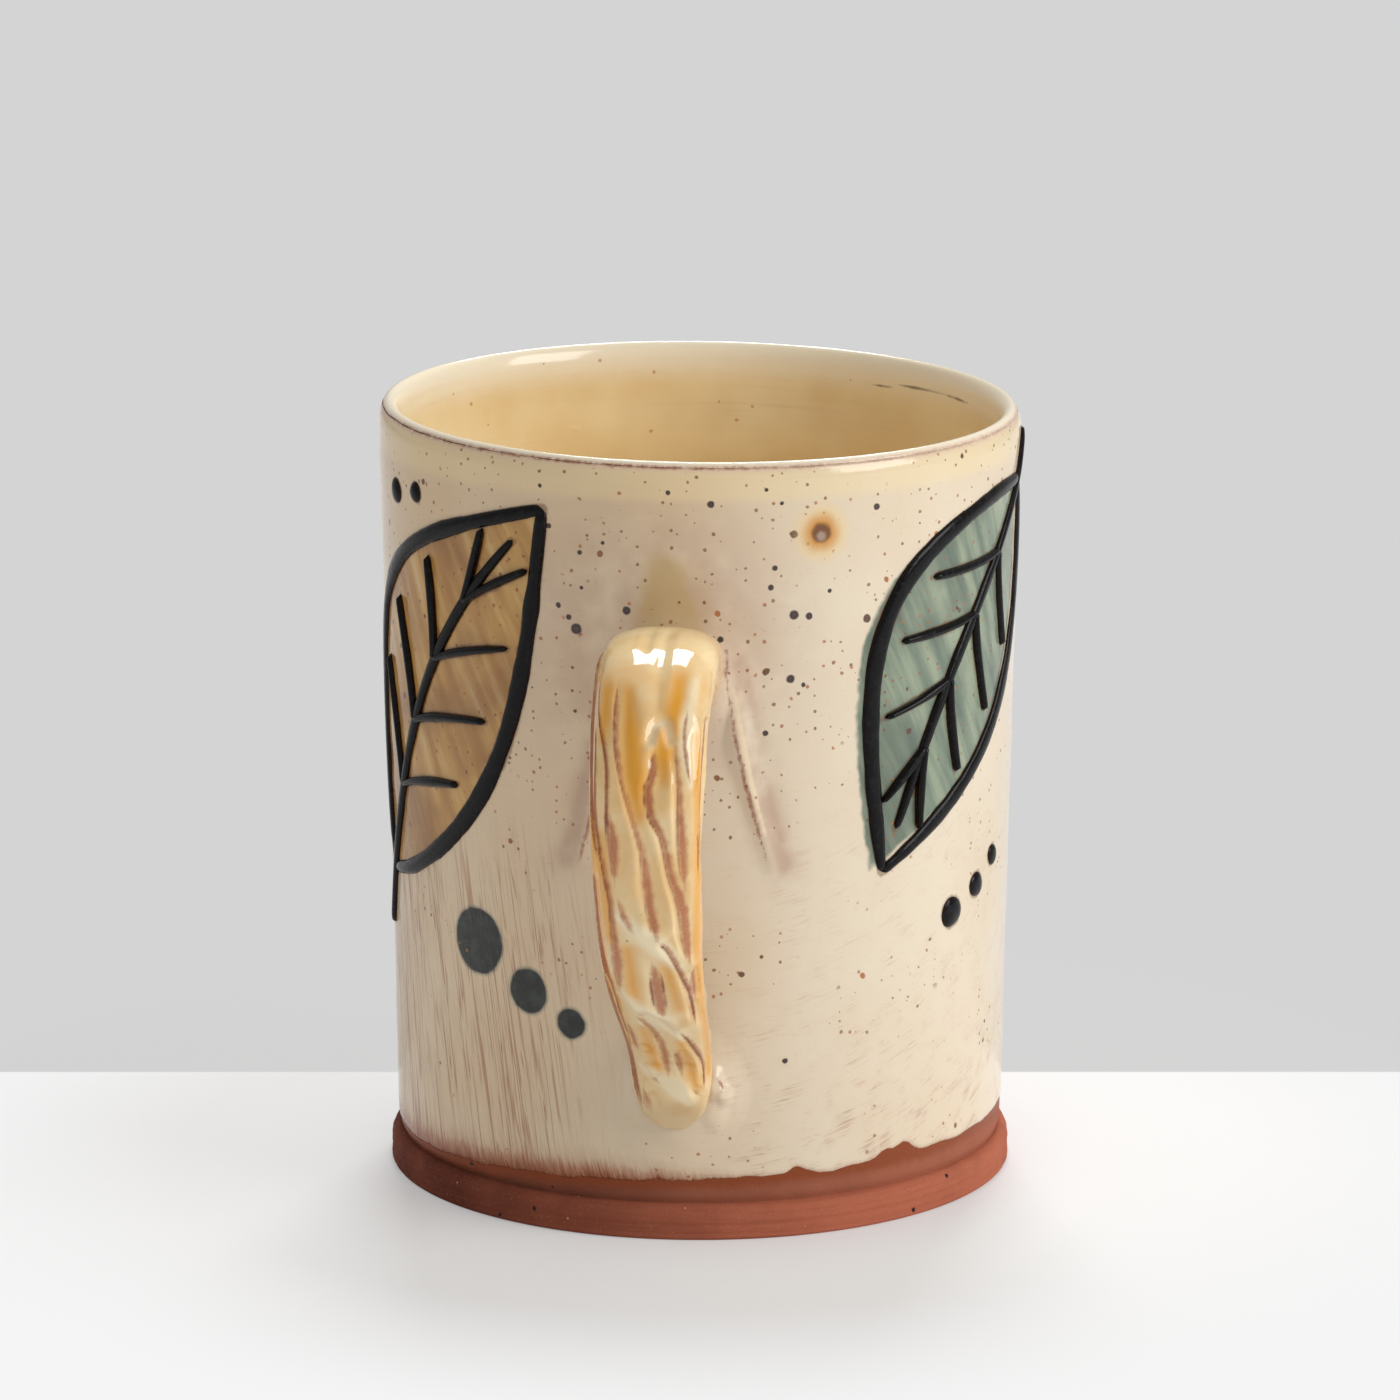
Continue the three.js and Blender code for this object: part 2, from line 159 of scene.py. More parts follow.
# From nought to full, measured up from the wing's top
wing_fade = (3, -5)
wing_inset = 0.9
wing_reach = 1.3
foot_fillet = 2.3
fillet_reach = 1.9
fillet_below = (28, 22)
dome_edges = (1.35, 0.35)

# Raised black slip
trail_height = 0.45
trail_foot = 0.1
trail_layer = 0.04
outline_width = 2.6
rib_width = 1.8
vein_width = 1.3
trail_tip = 0.45
trail_fullness = 0.4
trail_sink = 0.25
bead_step = 0.55
# How a bead's width varies: share and length
bead_waver = ((0.16, 5.0), (0.08, 1.7))
bead_apart = 31.0
bead_tip = 0.002
bead_end_round = 0.4
narrowest_end = 0.02
widest_bead = 1.12
bead_bulge = 0.75
bead_low_below = 0.35
dot_top = 0.96
# How a dot's outline varies: share, number of bulges, and how each dot is turned from the last
dot_waver = ((0.05, 2, 1), (0.03, 3, 2))

# How finely the meshes are built
columns_behind = 232
columns_in_front = 148
front_half = 22
liner_columns = 320
liner_lip_rows = 18
liner_side_rows = 150
corner_rows = 14
floor_rows = 40
foot_columns = 420
foot_under_rows = 60
foot_edge_rows = 7
foot_side_rows = 22
shoulder_rows = 14
pole_radius = 0.6
wall_rows = 222
lip_rows = 7
handle_rows = 520
handle_sides = 176
fewest_bead_rings = 12
bead_sides = 9
dot_columns = 28
dot_rows = 9
far_away = 8.0
mark_fade = far_away / 3

lip_base = mug_height - lip_round
lip_line_turn = math.asin((lip_round - lip_line_below_rim) / lip_round)
lip_line_half_turn = lip_line_width / 2 / lip_round


def colour(red, green, blue):
    """A colour written as 0 to 255, as the linear colour that a shader takes."""
    parts = np.array([red, green, blue]) / 255
    linear = np.where(parts <= 0.04045, parts / 12.92, ((parts + 0.055) / 1.055) ** 2.4)
    return (*linear.tolist(), 1.0)


# Curves and distances

def lerp(start, end, share):
    return start + (end - start) * share


def smooth_step(low, high, value):
    share = np.clip((value - low) / (high - low), 0, 1)
    return share * share * (3 - 2 * share)


def bezier(points, steps=200):
    a, b, c, d = np.array(points, float)
    t = np.linspace(0, 1, steps)[:, None]
    return a * (1 - t) ** 3 + 3 * b * t * (1 - t) ** 2 + 3 * c * t ** 2 * (1 - t) + d * t ** 3


def evenly(path, count):
    """The same path as points at even distances."""
    lengths = np.linalg.norm(np.diff(path, axis=0), axis=1)
    along = np.concatenate([[0], np.cumsum(lengths)])
    wanted = np.linspace(0, along[-1], count)
    return np.stack([np.interp(wanted, along, column) for column in path.T], axis=1)


def path_length(path):
    return np.linalg.norm(np.diff(path, axis=0), axis=1).sum()


def directions(path):
    ahead = np.gradient(path, axis=0)
    return ahead / np.linalg.norm(ahead, axis=1)[:, None]


def curve_through(points, steps=6):
    """A smooth curve through a few points."""
    given = np.array(points, float)
    if len(given) == 2:
        return given
    ends = np.vstack([2 * given[0] - given[1], given, 2 * given[-1] - given[-2]])
    t = np.arange(steps)[:, None] / steps
    spans = []
    for a, b, c, d in zip(ends, ends[1:], ends[2:], ends[3:]):
        straight = 2 * b + (c - a) * t
        bent = (2 * a - 5 * b + 4 * c - d) * t ** 2 + (3 * b - a - 3 * c + d) * t ** 3
        spans.append((straight + bent) / 2)
    return np.vstack(spans + [given[-1:]])


def path_distance(across, height, path):
    """How far each place is from a path, how far along the path that is, and on which side."""
    nearest = np.full(across.shape, np.inf)
    share = np.zeros(across.shape)
    side = np.ones(across.shape)
    last = len(path) - 1
    for i in range(last):
        start = path[i]
        step = path[i + 1] - start
        out, up = across - start[0], height - start[1]
        t = np.clip((out * step[0] + up * step[1]) / (step @ step), 0, 1)
        distance = np.hypot(out - t * step[0], up - t * step[1])
        closer = distance < nearest
        nearest = np.where(closer, distance, nearest)
        share = np.where(closer, (i + t) / last, share)
        side = np.where(closer, np.sign(step[0] * up - step[1] * out), side)
    return nearest, share, side


def spread(values, share):
    """Values given at even steps along a stroke, at each share of it."""
    return np.interp(share, np.linspace(0, 1, len(values)), values)


def near_box(across, height, points):
    """Which places are close enough to some points to be worth measuring."""
    low, high = points.min(axis=0) - far_away, points.max(axis=0) + far_away
    return (across > low[0]) & (across < high[0]) & (height > low[1]) & (height < high[1])


def stroke_edge(across, height, points, widths):
    """Distance outside a stroke's edge, below nought inside it, with its share along and its side."""
    path = curve_through(points)
    near = near_box(across, height, path)
    edge = np.full(across.shape, far_away)
    side = np.ones(across.shape)
    share = np.zeros(across.shape)
    if near.any():
        distance, share[near], side[near] = path_distance(across[near], height[near], path)
        edge[near] = np.minimum(distance - spread(widths, share[near]) / 2, far_away)
    return edge, side, share


def nearest_stroke(across, height, strokes):
    edges = [stroke_edge(across, height, points, widths)[0] for points, widths in strokes]
    return np.min(edges, axis=0)


def near_stroke(edge, reach):
    """One inside a stroke, falling smoothly to nought outside its edge."""
    return np.exp(-(np.maximum(edge, 0) / reach) ** 2)


def dome(across, height, place, half):
    """A smooth swelling from nought at an oval's edge to one at its middle."""
    reach = np.hypot((across - place[0]) / half[0], (height - place[1]) / half[1])
    return smooth_step(*dome_edges, reach)


cloud_cells = 24
cloud_seed = 7
random_cells = np.random.RandomState(cloud_seed).rand(cloud_cells, cloud_cells, cloud_cells) * 2 - 1


def cloud(points, size, shift=0.0):
    """Smooth random values from -1 to 1 in space, the same on every run."""
    scaled = points / size + shift
    whole = np.floor(scaled).astype(int)
    part = scaled - whole
    part = part * part * (3 - 2 * part)
    total = 0
    for corner in np.ndindex(2, 2, 2):
        index = (whole + corner) % cloud_cells
        weight = np.prod(np.where(corner, part, 1 - part), axis=-1)
        total = total + weight * random_cells[index[..., 0], index[..., 1], index[..., 2]]
    return total


# Meshes

def skin(rings, capped, layers):
    """Points, faces, map corners and layers over rings of points. Either both ends are capped, or
    the last ring joins the first."""
    rows, columns = rings.shape[:2]
    number = np.arange(rows * columns).reshape(rows, columns)
    row, column = np.indices((rows - 1 if capped else rows, columns)).reshape(2, -1)
    next_row, next_column = (row + 1) % rows, (column + 1) % columns
    faces = np.stack([
        number[row, column], number[row, next_column],
        number[next_row, next_column], number[next_row, column],
    ], axis=1).tolist()
    spare = 1 if capped else 0
    across = np.stack([column, column + 1, column + 1, column], axis=1) / columns
    down = (np.stack([row, row, row + 1, row + 1], axis=1) + spare) / (rows + spare)
    corners = np.stack([across, down], axis=-1).reshape(-1, 2)
    points = rings.reshape(-1, 3)
    values = {name: np.broadcast_to(layer, (rows, columns)) for name, layer in layers.items()}
    flat = {name: layer.ravel() for name, layer in values.items()}
    if capped:
        turn = np.arange(columns)
        following = (turn + 1) % columns
        caps = [(rows * columns, number[0, following], number[0, turn], 0, 1)]
        caps.append((rows * columns + 1, number[-1, turn], number[-1, following], rows + 1, rows))
        for centre, first, second, pole_row, ring_row in caps:
            faces += np.stack([np.full(columns, centre), first, second], axis=1).tolist()
            ends = np.stack([turn + 0.5, turn + 1, turn], axis=1) / columns
            levels = np.array([pole_row, ring_row, ring_row]) / (rows + spare)
            levels = np.broadcast_to(levels, (columns, 3))
            corners = np.vstack([corners, np.stack([ends, levels], axis=-1).reshape(-1, 2)])
        points = np.vstack([points, rings[0].mean(axis=0), rings[-1].mean(axis=0)])
        for name, layer in values.items():
            flat[name] = np.concatenate([flat[name], [layer[0].mean(), layer[-1].mean()]])
    return points, faces, corners, flat


def signed_volume(points, faces):
    total = 0.0
    for size in (3, 4):
        picked = np.array([face for face in faces if len(face) == size])
        for a, b in ((1, 2), (2, 3))[:size - 2]:
            if len(picked):
                first, second, third = (points[picked[:, k]] for k in (0, a, b))
                total += np.einsum("ij,ij->i", first, np.cross(second, third)).sum()
    return total


def make_piece(name, skins, material, nodes):
    """One named piece from one or more skins, which rides on the body and stands for CAD nodes."""
    points, faces, corners = [], [], []
    layers = {key: [] for key in skins[0][3]}
    start = 0
    for k, (skin_points, skin_faces, skin_corners, skin_layers) in enumerate(skins):
        points.append(skin_points)
        faces += [[start + corner for corner in face] for face in skin_faces]
        corners.append((skin_corners + [0, k]) / [1, len(skins)])
        for key, values in skin_layers.items():
            layers[key].append(values)
        start += len(skin_points)
    points = np.vstack(points)
    turned_out = signed_volume(points, faces) > 0
    mesh = bpy.data.meshes.new(name)
    mesh.from_pydata((points * MM).tolist(), [], faces)
    mesh.uv_layers.new(name="OFBake").data.foreach_set("uv", np.vstack(corners).ravel())
    for key, values in layers.items():
        mesh.attributes.new(key, "FLOAT", "POINT").data.foreach_set("value", np.concatenate(values))
    if not turned_out:
        mesh.flip_normals()
    mesh.shade_smooth()
    mesh.materials.append(material)
    piece = bpy.data.objects.new(name, mesh)
    bpy.context.scene.collection.objects.link(piece)
    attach(piece, "root")
    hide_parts(*nodes)
    return piece


# The body's form

def wall_radius(height):
    span = mug_height - widest_below_rim - foot_height
    share = np.clip((height - foot_height) / span, 0, 1)
    return base_radius + wall_flare * share ** belly_power


def inner_radius(height):
    below_lip = np.clip((lip_base - height) / lip_thinning, 0, 1)
    return wall_radius(height) - lerp(lip_thickness, wall_thickness, smooth_step(0, 1, below_lip))


def rim_shift(x, y, height):
    """The mug is a little taller at left, and its rim is lower in front."""
    share = np.maximum(0, (height - floor_height) / (mug_height - floor_height))
    near_rim = smooth_step(mug_height - rim_lean_depth, mug_height, height)
    leaning = rim_lean / 2 * (y / rim_radius) - rim_sink
    return leaning * near_rim - (rim_drop / 2) * (x / rim_radius) * share


def lip_arc(inset, turn):
    middle = wall_radius(lip_base) - lip_thickness / 2
    radius = middle + (lip_thickness / 2 - inset) * np.cos(turn)
    return radius, lip_base + (lip_round - inset) * np.sin(turn)


def around(angle, radius, height):
    """Points at an angle from the handle's line, with the rim's slight tilt."""
    x, y = radius * np.sin(angle), -radius * np.cos(angle)
    return np.stack([x, y, height + rim_shift(x, y, height)], axis=-1)


def on_wall(across, height, proud):
    return around(across / rim_radius, wall_radius(height) + proud, height)


def column(*values):
    return np.array(values, float)[:, None]


def lathe(angle, profile):
    """Rings of points at the angles, from pairs of radius and height in columns, and the heights."""
    pairs = [np.broadcast_arrays(radius, height, angle)[:2] for radius, height in profile]
    radius, height = (np.concatenate(parts) for parts in zip(*pairs))
    return around(angle, radius, height), height


def signed_turn(angle):
    """The angle from the handle's line, below nought at left."""
    return (angle + math.pi) % (2 * math.pi) - math.pi


def even_turn(count):
    """Angles at even steps all round, in one row."""
    return np.linspace(0, 2 * math.pi, count, endpoint=False)[None, :]


def circle_points(angle):
    return np.stack([np.sin(angle), np.cos(angle), 0 * angle], axis=-1) * rim_radius


def line_gap(angle, shift):
    """How wide the bare line at the lip is at each angle, as a share of its usual width. It is
    narrower at right."""
    usual = lip_gap - lip_gap_turn * np.sin(angle)
    uneven = 1 + lip_gap_unevenness * cloud(circle_points(angle), lip_gap_patch, shift)
    return np.clip(usual * uneven, *lip_gap_range)


def slip_edge(angle):
    """Height of the slip's lower edge at an angle from the handle's line."""
    from_right = angle - math.pi / 2
    waver = slip_edge_waver * np.sin(slip_edge_wavers * from_right)
    return slip_edge_height + waver + slip_edge_rise * np.cos(from_right)


def wall_columns():
    """Angles round the wall, closer together in front, where the handle is joined."""
    front = front_half / rim_radius
    behind = np.linspace(front, 2 * math.pi - front, columns_behind, endpoint=False)
    in_front = np.linspace(-front, front, columns_in_front, endpoint=False)
    return np.concatenate([behind, 2 * math.pi + in_front])


# The handle's form

def strap_path():
    """Points [reach, height] down the middle of the strap, from inside the wall to its foot."""
    upper, lower = wall_radius(upper_root_height), wall_radius(heel_height)
    bow, heel = upper + handle_reach, lower + heel_reach
    rise = (crest_height - upper_root_height) / crest_reach
    root = np.array([
        [upper - root_sink, upper_root_height - root_sink * rise],
        [upper, upper_root_height],
    ])
    crest = bezier([
        root[1], (upper + crest_reach, crest_height), (bow, crest_shoulder), (bow, bow_height),
    ])
    fall = bezier([
        (bow, bow_height), (bow, bow_height - bow_fall),
        (heel + heel_pull, heel_height + heel_pull * heel_slope), (heel, heel_height),
    ])
    foot = bezier([
        (heel, heel_height), (heel - heel_bend, heel_height - heel_bend * heel_slope),
        (lower + strap_foot_reach, strap_foot_height + strap_foot_pull),
        (lower + strap_foot_reach, strap_foot_height),
    ])
    return np.vstack([root, crest[1:], fall[1:], foot[1:]])


def strap_half_sizes(along, length):
    root = np.maximum(0, 1 - along * length / root_length)
    foot = 1 - (1 - foot_taper) * np.maximum(0, 1 - (1 - along) * length / foot_taper_length) ** 2
    width = lerp(strap_width_top, strap_width_foot, along ** strap_taper) - root_narrowing * root
    thickness = lerp(strap_thickness_top, strap_thickness_foot, along)
    return width * foot / 2, thickness * foot / 2


# Cuts on the handle's outer face: points [across, height], widths, and how red each is, from the
# first point to the last. The clay shows red in the narrow cuts, and mauve through thin slip in the
# wide ones.
handle_cuts = [
    ([(-7.4, 84), (-6.6, 81), (-5.4, 78), (-4.7, 75), (-4.6, 71), (-4.8, 64)],
     (0.2, 0.5, 0.4, 0.3), (0.9,)),
    ([(-4.5, 70), (-3.9, 65), (-3.8, 59)], (0.2, 1.4, 0.3), (0.8, 0.2, 0.1)),
    ([(-4.0, 85), (-3.9, 80), (-3.4, 76), (-2.5, 72), (-1.3, 68), (-0.2, 64), (0.3, 60), (0.7, 56),
      (1.4, 52)],
     (0.1, 0.5, 0.6, 0.4, 0.5, 0.8, 1.2, 1.3, 1.2), (0.6, 0.8, 0.8, 0.5, 0.3, 0.2, 0.2, 0.2, 0.4)),
    ([(1.4, 52), (2.9, 50), (4.2, 46), (4.9, 42), (4.8, 35)], (0.6, 0.6, 0.5, 0.1), (0.5, 0.9, 0.9)),
    ([(1.2, 78), (1.1, 74), (0.5, 72), (1.0, 69), (2.4, 66), (3.4, 61), (4.6, 57), (5.0, 52),
      (5.3, 47)],
     (0.2, 0.9, 1.2, 1.0, 0.8, 1.0, 1.3, 1.4, 0.4), (1.0, 0.8, 0.6, 0.9, 0.7, 0.3, 0.3, 0.2, 0.5)),
    ([(3.6, 79), (4.4, 73), (4.6, 69), (4.8, 65), (5.0, 59)],
     (0.2, 0.5, 0.8, 1.3, 0.8), (0.2, 0.5, 0.7, 0.4, 0.2)),
    ([(8.6, 81), (9.4, 76), (9.4, 69), (8.9, 64)], (0.1, 0.9, 0.9, 0.1), (0.9,)),
    ([(7.8, 67), (8.5, 64), (8.0, 60)], (0.1, 0.6, 0.2), (0.9,)),
    ([(5.2, 82), (4.9, 79), (5.4, 75), (6.1, 72)], (0.1, 0.35, 0.1), (0.6,)),
    ([(-8.8, 87.5), (-8.9, 82), (-8.8, 76), (-8.7, 71), (-7.6, 66.5), (-6.2, 63)],
     (0.4, 1.2, 1.5, 1.6, 0.9, 0.3), (1.0,)),
    ([(-7.6, 46), (-6.9, 41), (-6.3, 33), (-5.8, 25), (-4.6, 18)], (0.3, 1.1, 1.3, 1.4, 1.0), (1.0,)),
    ([(-2.8, 88.3), (-2.9, 86.6)], (0.2, 0.1), (0.5,)),
    ([(-7.3, 80), (-6.9, 75), (-7.1, 69), (-5.7, 64), (-4.5, 58), (-4.2, 53), (-4.0, 48), (-4.2, 42)],
     (0.3, 0.5, 0.9, 0.6, 0.5, 0.8, 1.4, 0.4), (1.0, 1.0, 0.8, 1.0, 0.9, 0.4, 0.1, 0.1)),
    ([(-8.4, 62), (-8.1, 55), (-6.9, 48), (-5.2, 42.5), (-4.9, 37), (-4.5, 32)],
     (0.6, 1.4, 1.4, 0.7, 0.5, 0.3), (1.0,)),
    ([(-4.7, 34), (-5.0, 28), (-4.5, 22), (-4.0, 19)], (0.2, 0.5, 0.6, 0.3), (0.9,)),
    ([(-3.8, 59), (-2.6, 55), (-1.3, 52)], (0.1, 0.8, 0.1), (0.2,)),
    ([(5.8, 48), (5.5, 44), (5.5, 40)], (0.3, 1.3, 0.2), (0.1,)),
    ([(0.4, 49.5), (0.7, 46.5), (0.8, 43), (0.9, 40), (1.0, 38)], (0.1, 1.1, 1.6, 1.3, 0.4), (0.1,)),
    ([(0.0, 47), (0.1, 43), (0.2, 39)], (0.1, 0.25, 0.1), (0.9,)),
    ([(1.4, 48), (1.6, 43), (1.6, 39)], (0.1, 0.25, 0.1), (0.9,)),
    ([(-3.3, 39), (-1.7, 37), (-0.7, 35), (-0.1, 32), (0.0, 28), (0.1, 24)],
     (0.1, 0.5, 0.6, 0.9, 1.0, 0.3), (0.3, 0.4, 0.4, 0.2, 0.1)),
    ([(1.4, 31), (1.6, 28), (1.9, 24)], (0.2, 0.9, 0.2), (0.3,)),
    ([(2.5, 36), (4.2, 30), (4.9, 26), (4.6, 22)], (0.2, 0.6, 0.5, 0.3), (1.0,)),
    ([(-2.6, 25.2), (-1.8, 24.3), (-0.9, 23)], (0.3, 0.8, 0.2), (0.8,)),
    ([(2.6, 23.4), (3.6, 22), (4.5, 20.8)], (0.2, 0.5, 0.2), (0.7,)),
    ([(-4.2, 37), (-3.9, 33), (-3.5, 29)], (0.2, 1.0, 0.2), (0.1,)),
    ([(-3.7, 23), (-3.2, 20), (-2.7, 17)], (0.2, 0.9, 0.2), (0.2,)),
]
# Places on the same face where the strap is pinched proud, with a painted highlight on the arch above
# the scoop, and where the glaze pools
pale_strokes = [
    ([(-3.6, 55.3), (-1.2, 53.2), (1.2, 51.2), (3.6, 47.8)], (0.6, 2.0, 2.7, 0.9)),
    ([(-3.9, 42.2), (-1.6, 39.6), (0.6, 37), (3.0, 33.6)], (0.6, 1.8, 2.9, 1.0)),
    ([(5.7, 84), (5.0, 79), (5.8, 73)], (0.3, 1.2, 0.3)),
    ([(-3.4, 26.4), (-1.0, 24.5), (1.0, 22.6), (2.4, 20.2)], (0.6, 1.6, 2.5, 1.0)),
    # The arch above the scoop: a painted highlight on a small ridge
    ([(0.7, 77.8), (1.3, 79.6), (2.5, 79.6), (3.1, 78.0)], (0.1, 0.3, 0.1)),
]
honey_strokes = [
    ([(-5.3, 83), (-5.6, 78)], (0.6, 1.0, 0.3)),
    ([(-2.6, 83), (-1.9, 79), (-1.2, 74), (-0.8, 69)], (0.1, 1.6, 2.2, 0.3)),
    ([(3.6, 84), (3.9, 79)], (0.6, 2.2, 0.8)),
    ([(2.2, 79), (2.4, 73.5)], (1.2, 1.9, 0.1)),
    ([(6.8, 78), (7.8, 73), (8.2, 64), (7.6, 50), (7.0, 38), (6.5, 25)],
     (0.6, 1.5, 1.2, 1.2, 1.2, 0.8)),
    ([(-8.0, 72), (-7.7, 62), (-6.9, 50), (-6.1, 40)], (0.3, 0.7, 0.7, 0.4)),
    ([(-6.0, 66), (-5.6, 58), (-5.2, 52)], (0.2, 0.8, 0.3)),
    ([(-5.6, 45), (-5.3, 38), (-5.0, 31)], (0.3, 0.6, 0.3)),
    ([(-2.5, 50), (-2.1, 41)], (0.0, 0.5, 0.0)),
    ([(2.2, 49), (3.2, 40)], (0.0, 0.5, 0.0)),
    ([(-2.2, 35), (-1.2, 26)], (0.0, 0.2, 0.0)),
    ([(2.4, 32), (3.4, 23)], (0.0, 0.3, 0.0)),
]
# Creases across the crest, which part the light on it, and a soft hollow above the scoop
creases = [
    ([(1.3, 89), (1.2, 86), (1.3, 82)], (0.2, 0.4, 0.0)),
    ([(-1.1, 89.5), (-1.1, 87.4)], (0.2, 0.0)),
]
crease_depth = 0.36
crease_reach = 1.3
soft_hollows = [([(0.5, 78.3), (1.2, 80.2), (2.6, 80.2), (3.3, 78.5)], (0.1, 0.2, 0.1))]
hollow_depth = 0.85
hollow_reach = 0.6

# How the cuts are carved and coloured
stroke_end = 2.4
cut_depth = 0.5
narrow_cut = 0.8
shallowest_cut = 0.4
steep_side = 0.55
gentle_side = 1.7
gentle_colour = 0.6
colour_run_out = 0.35
line_run_out = 0.3
pale_line_inset = 0.14
ridge_height = 0.2
ridge_inset = 0.4
ridge_reach = 1.0
pool_depth = 0.16
pool_reach = 0.8
scoop_place = (2.1, 75.6)
scoop_half = (1.5, 4.6)
scoop_depth = 0.22


def handle_marks(x, height):
    """Distances from the marks on the strap's outer face, how red the cuts are, and its depth."""
    nearest = np.full(x.shape, far_away)
    line = np.full(x.shape, far_away)
    redness = np.zeros(x.shape)
    depth = np.zeros(x.shape)
    for points, widths, reds in handle_cuts:
        edge, side, share = stroke_edge(x, height, points, widths)
        red, gentle = spread(reds, share), side > 0
        # Past the gentle side of a cut the colour fades slowly, its steep side has a red line, and
        # both run out at its ends
        from_end = np.minimum(share, 1 - share) * path_length(np.array(points))
        run_out = 1 - smooth_step(0, stroke_end, from_end)
        soft = np.where(gentle & (edge > 0), edge * lerp(gentle_colour, 1.0, red), edge)
        soft = soft + colour_run_out * run_out
        steep = np.where(gentle, edge + spread(widths, share), np.abs(edge))
        steep = steep + (1 - red) * pale_line_inset + line_run_out * run_out
        line = np.minimum(line, steep)
        redness = np.where(soft < nearest, red, redness)
        nearest = np.minimum(nearest, soft)
        full = cut_depth * np.clip(max(widths) / narrow_cut, shallowest_cut, 1) * (1 - run_out)
        depth = np.maximum(depth, full * near_stroke(edge, np.where(gentle, gentle_side, steep_side)))
    pale = nearest_stroke(x, height, pale_strokes)
    honey = nearest_stroke(x, height, honey_strokes)
    crease = nearest_stroke(x, height, creases)
    depth = depth + hollow_depth * near_stroke(nearest_stroke(x, height, soft_hollows), hollow_reach)
    depth = depth + crease_depth * np.clip(1 - crease / crease_reach, 0, 1)
    depth = depth + pool_depth * near_stroke(honey, pool_reach)
    depth = depth + scoop_depth * dome(x, height, scoop_place, scoop_half)
    depth = depth - ridge_height * near_stroke(pale + ridge_inset, ridge_reach)
    return nearest, line, redness, pale, honey, depth


def squared(wave):
    """A sine or cosine that runs round a rounded square in place of a circle."""
    return np.sign(wave) * np.abs(wave) ** strap_squareness


def close_tip(rings, path, from_tip):
    """Rounds off the strap's tip, quickly across its width and slowly through its thickness."""
    tip = np.clip(from_tip / tip_round, 0, 1)
    rings[..., 0] *= np.sqrt(1 - (1 - np.minimum(1, tip_bluntness * tip)) ** 2)
    middle = np.stack([-path[:, :1], path[:, 1:]], axis=-1)
    rings[..., 1:] = lerp(middle, rings[..., 1:], (tip * (2 - tip))[..., None])


def keep_out_of_cup(rings):
    """Moves the root's points out to where the wall's clay hides them."""
    within = np.hypot(rings[..., 0], rings[..., 1])
    least = wall_radius(rings[..., 2]) - root_hidden
    rings[..., :2] *= np.maximum(1, least / within)[..., None]


def flute_valley(turn, along):
    """One in the middle of each flute and nought between them. They turn slowly round the strap."""
    start_turn = -flute_turns * 2 * math.pi * along ** flute_turn_gain
    phase = (turn - start_turn) * flute_count / (2 * math.pi) % 1
    return np.sin(math.pi * phase)


def make_handle(material):
    path = evenly(strap_path(), handle_rows)
    length = path_length(path)
    along = np.linspace(0, 1, handle_rows)[:, None]
    turn = even_turn(handle_sides)
    ahead = directions(path)
    from_root = along * length
    half_width, half_thickness = strap_half_sizes(along, length)
    half_width = half_width - root_pinch * smooth_step(*pinched_from, from_root)
    box_cos, box_sin = squared(np.cos(turn)), squared(np.sin(turn))

    def ring_points(dent):
        """Rings with a dented skin, and how far across the unrolled face each point is."""
        x = (half_width - dent) * box_cos
        out = (half_thickness - dent) * box_sin
        reach = path[:, :1] - out * ahead[:, 1:]
        height = path[:, 1:] + out * ahead[:, :1]
        unrolled = x + np.sign(x) * np.maximum(0, half_thickness - dent - out - edge_round)
        return np.stack([x, -reach, height], axis=-1), unrolled

    fluted = smooth_step(*fluted_from, from_root)
    valley = flute_valley(turn, along)
    flute = flute_depth * valley ** flute_roundness * fluted
    front = smooth_step(*front_from, -ahead[:, 1:] * box_sin)
    plain_rings, unrolled = ring_points(0 * flute)
    depth = handle_marks(unrolled, plain_rings[..., 2])[-1]
    rings, unrolled = ring_points(np.maximum(lerp(flute, front_inset + depth, front), 0))
    close_tip(rings, path, length - from_root)
    keep_out_of_cup(rings)

    nearest, line, redness, pale, honey, _ = handle_marks(unrolled, rings[..., 2])
    behind = (1 - front) * mark_fade
    spacing = math.pi * (half_width + half_thickness) / flute_count
    groove = (1 - valley) * spacing / 2 - groove_half + lerp(mark_fade, 0, fluted * (1 - front))
    layers = {
        "cut_edge": np.minimum(nearest + behind, groove),
        "cut_line": np.minimum(line + behind, groove + groove_line_inset),
        "cut_red": np.where(groove < nearest + behind, groove_red, redness),
        "pale_and_highlight_edge": pale + behind,
        "honey_edge": honey + behind,
        "valley": valley * (1 - front) * fluted,
        # The root's pink and painted shade reach further along the flanks
        "from_root": from_root - root_flank * np.abs(box_cos) ** 4,
        "from_tip": length - from_root,
    }
    keep = slice(1, handle_rows - 1)
    kept = {name: np.broadcast_to(layer, unrolled.shape)[keep] for name, layer in layers.items()}
    parts = skin(rings[keep], True, kept)
    return make_piece("fluted_handle", [parts], material, ["handle_strap"])


# Leaves of raised slip: base and tip as [across, distance below the rim], half-width and bend
leaves = {
    "ochre_leaf_trail": {"base": (-55, 63.5), "tip": (-18, 7.5), "half": 17, "bend": 4},
    "green_leaf_trail": {"base": (63, 8.5), "tip": (30, 57.5), "half": 15.5, "bend": -4},
    "back_leaf_trail": {"base": (126, 64.5), "tip": (144, 14.5), "half": 14, "bend": 3},
}
leaf_fullness = 0.85
stem_share = 0.14
rib_share = 0.9
vein_pairs = 4
first_vein = 0.2
last_vein = 0.7
vein_lean = 0.17
vein_reach = 0.76
vein_sweep = 1.2
leaf_steps = 12

slip_dots = [
    ((44, 65.5), 4.4),
    ((50.5, 63), 3.6),
    ((56, 60), 3),
    ((-49, 10), 3.4),
    ((-42.5, 9), 2.8),
]

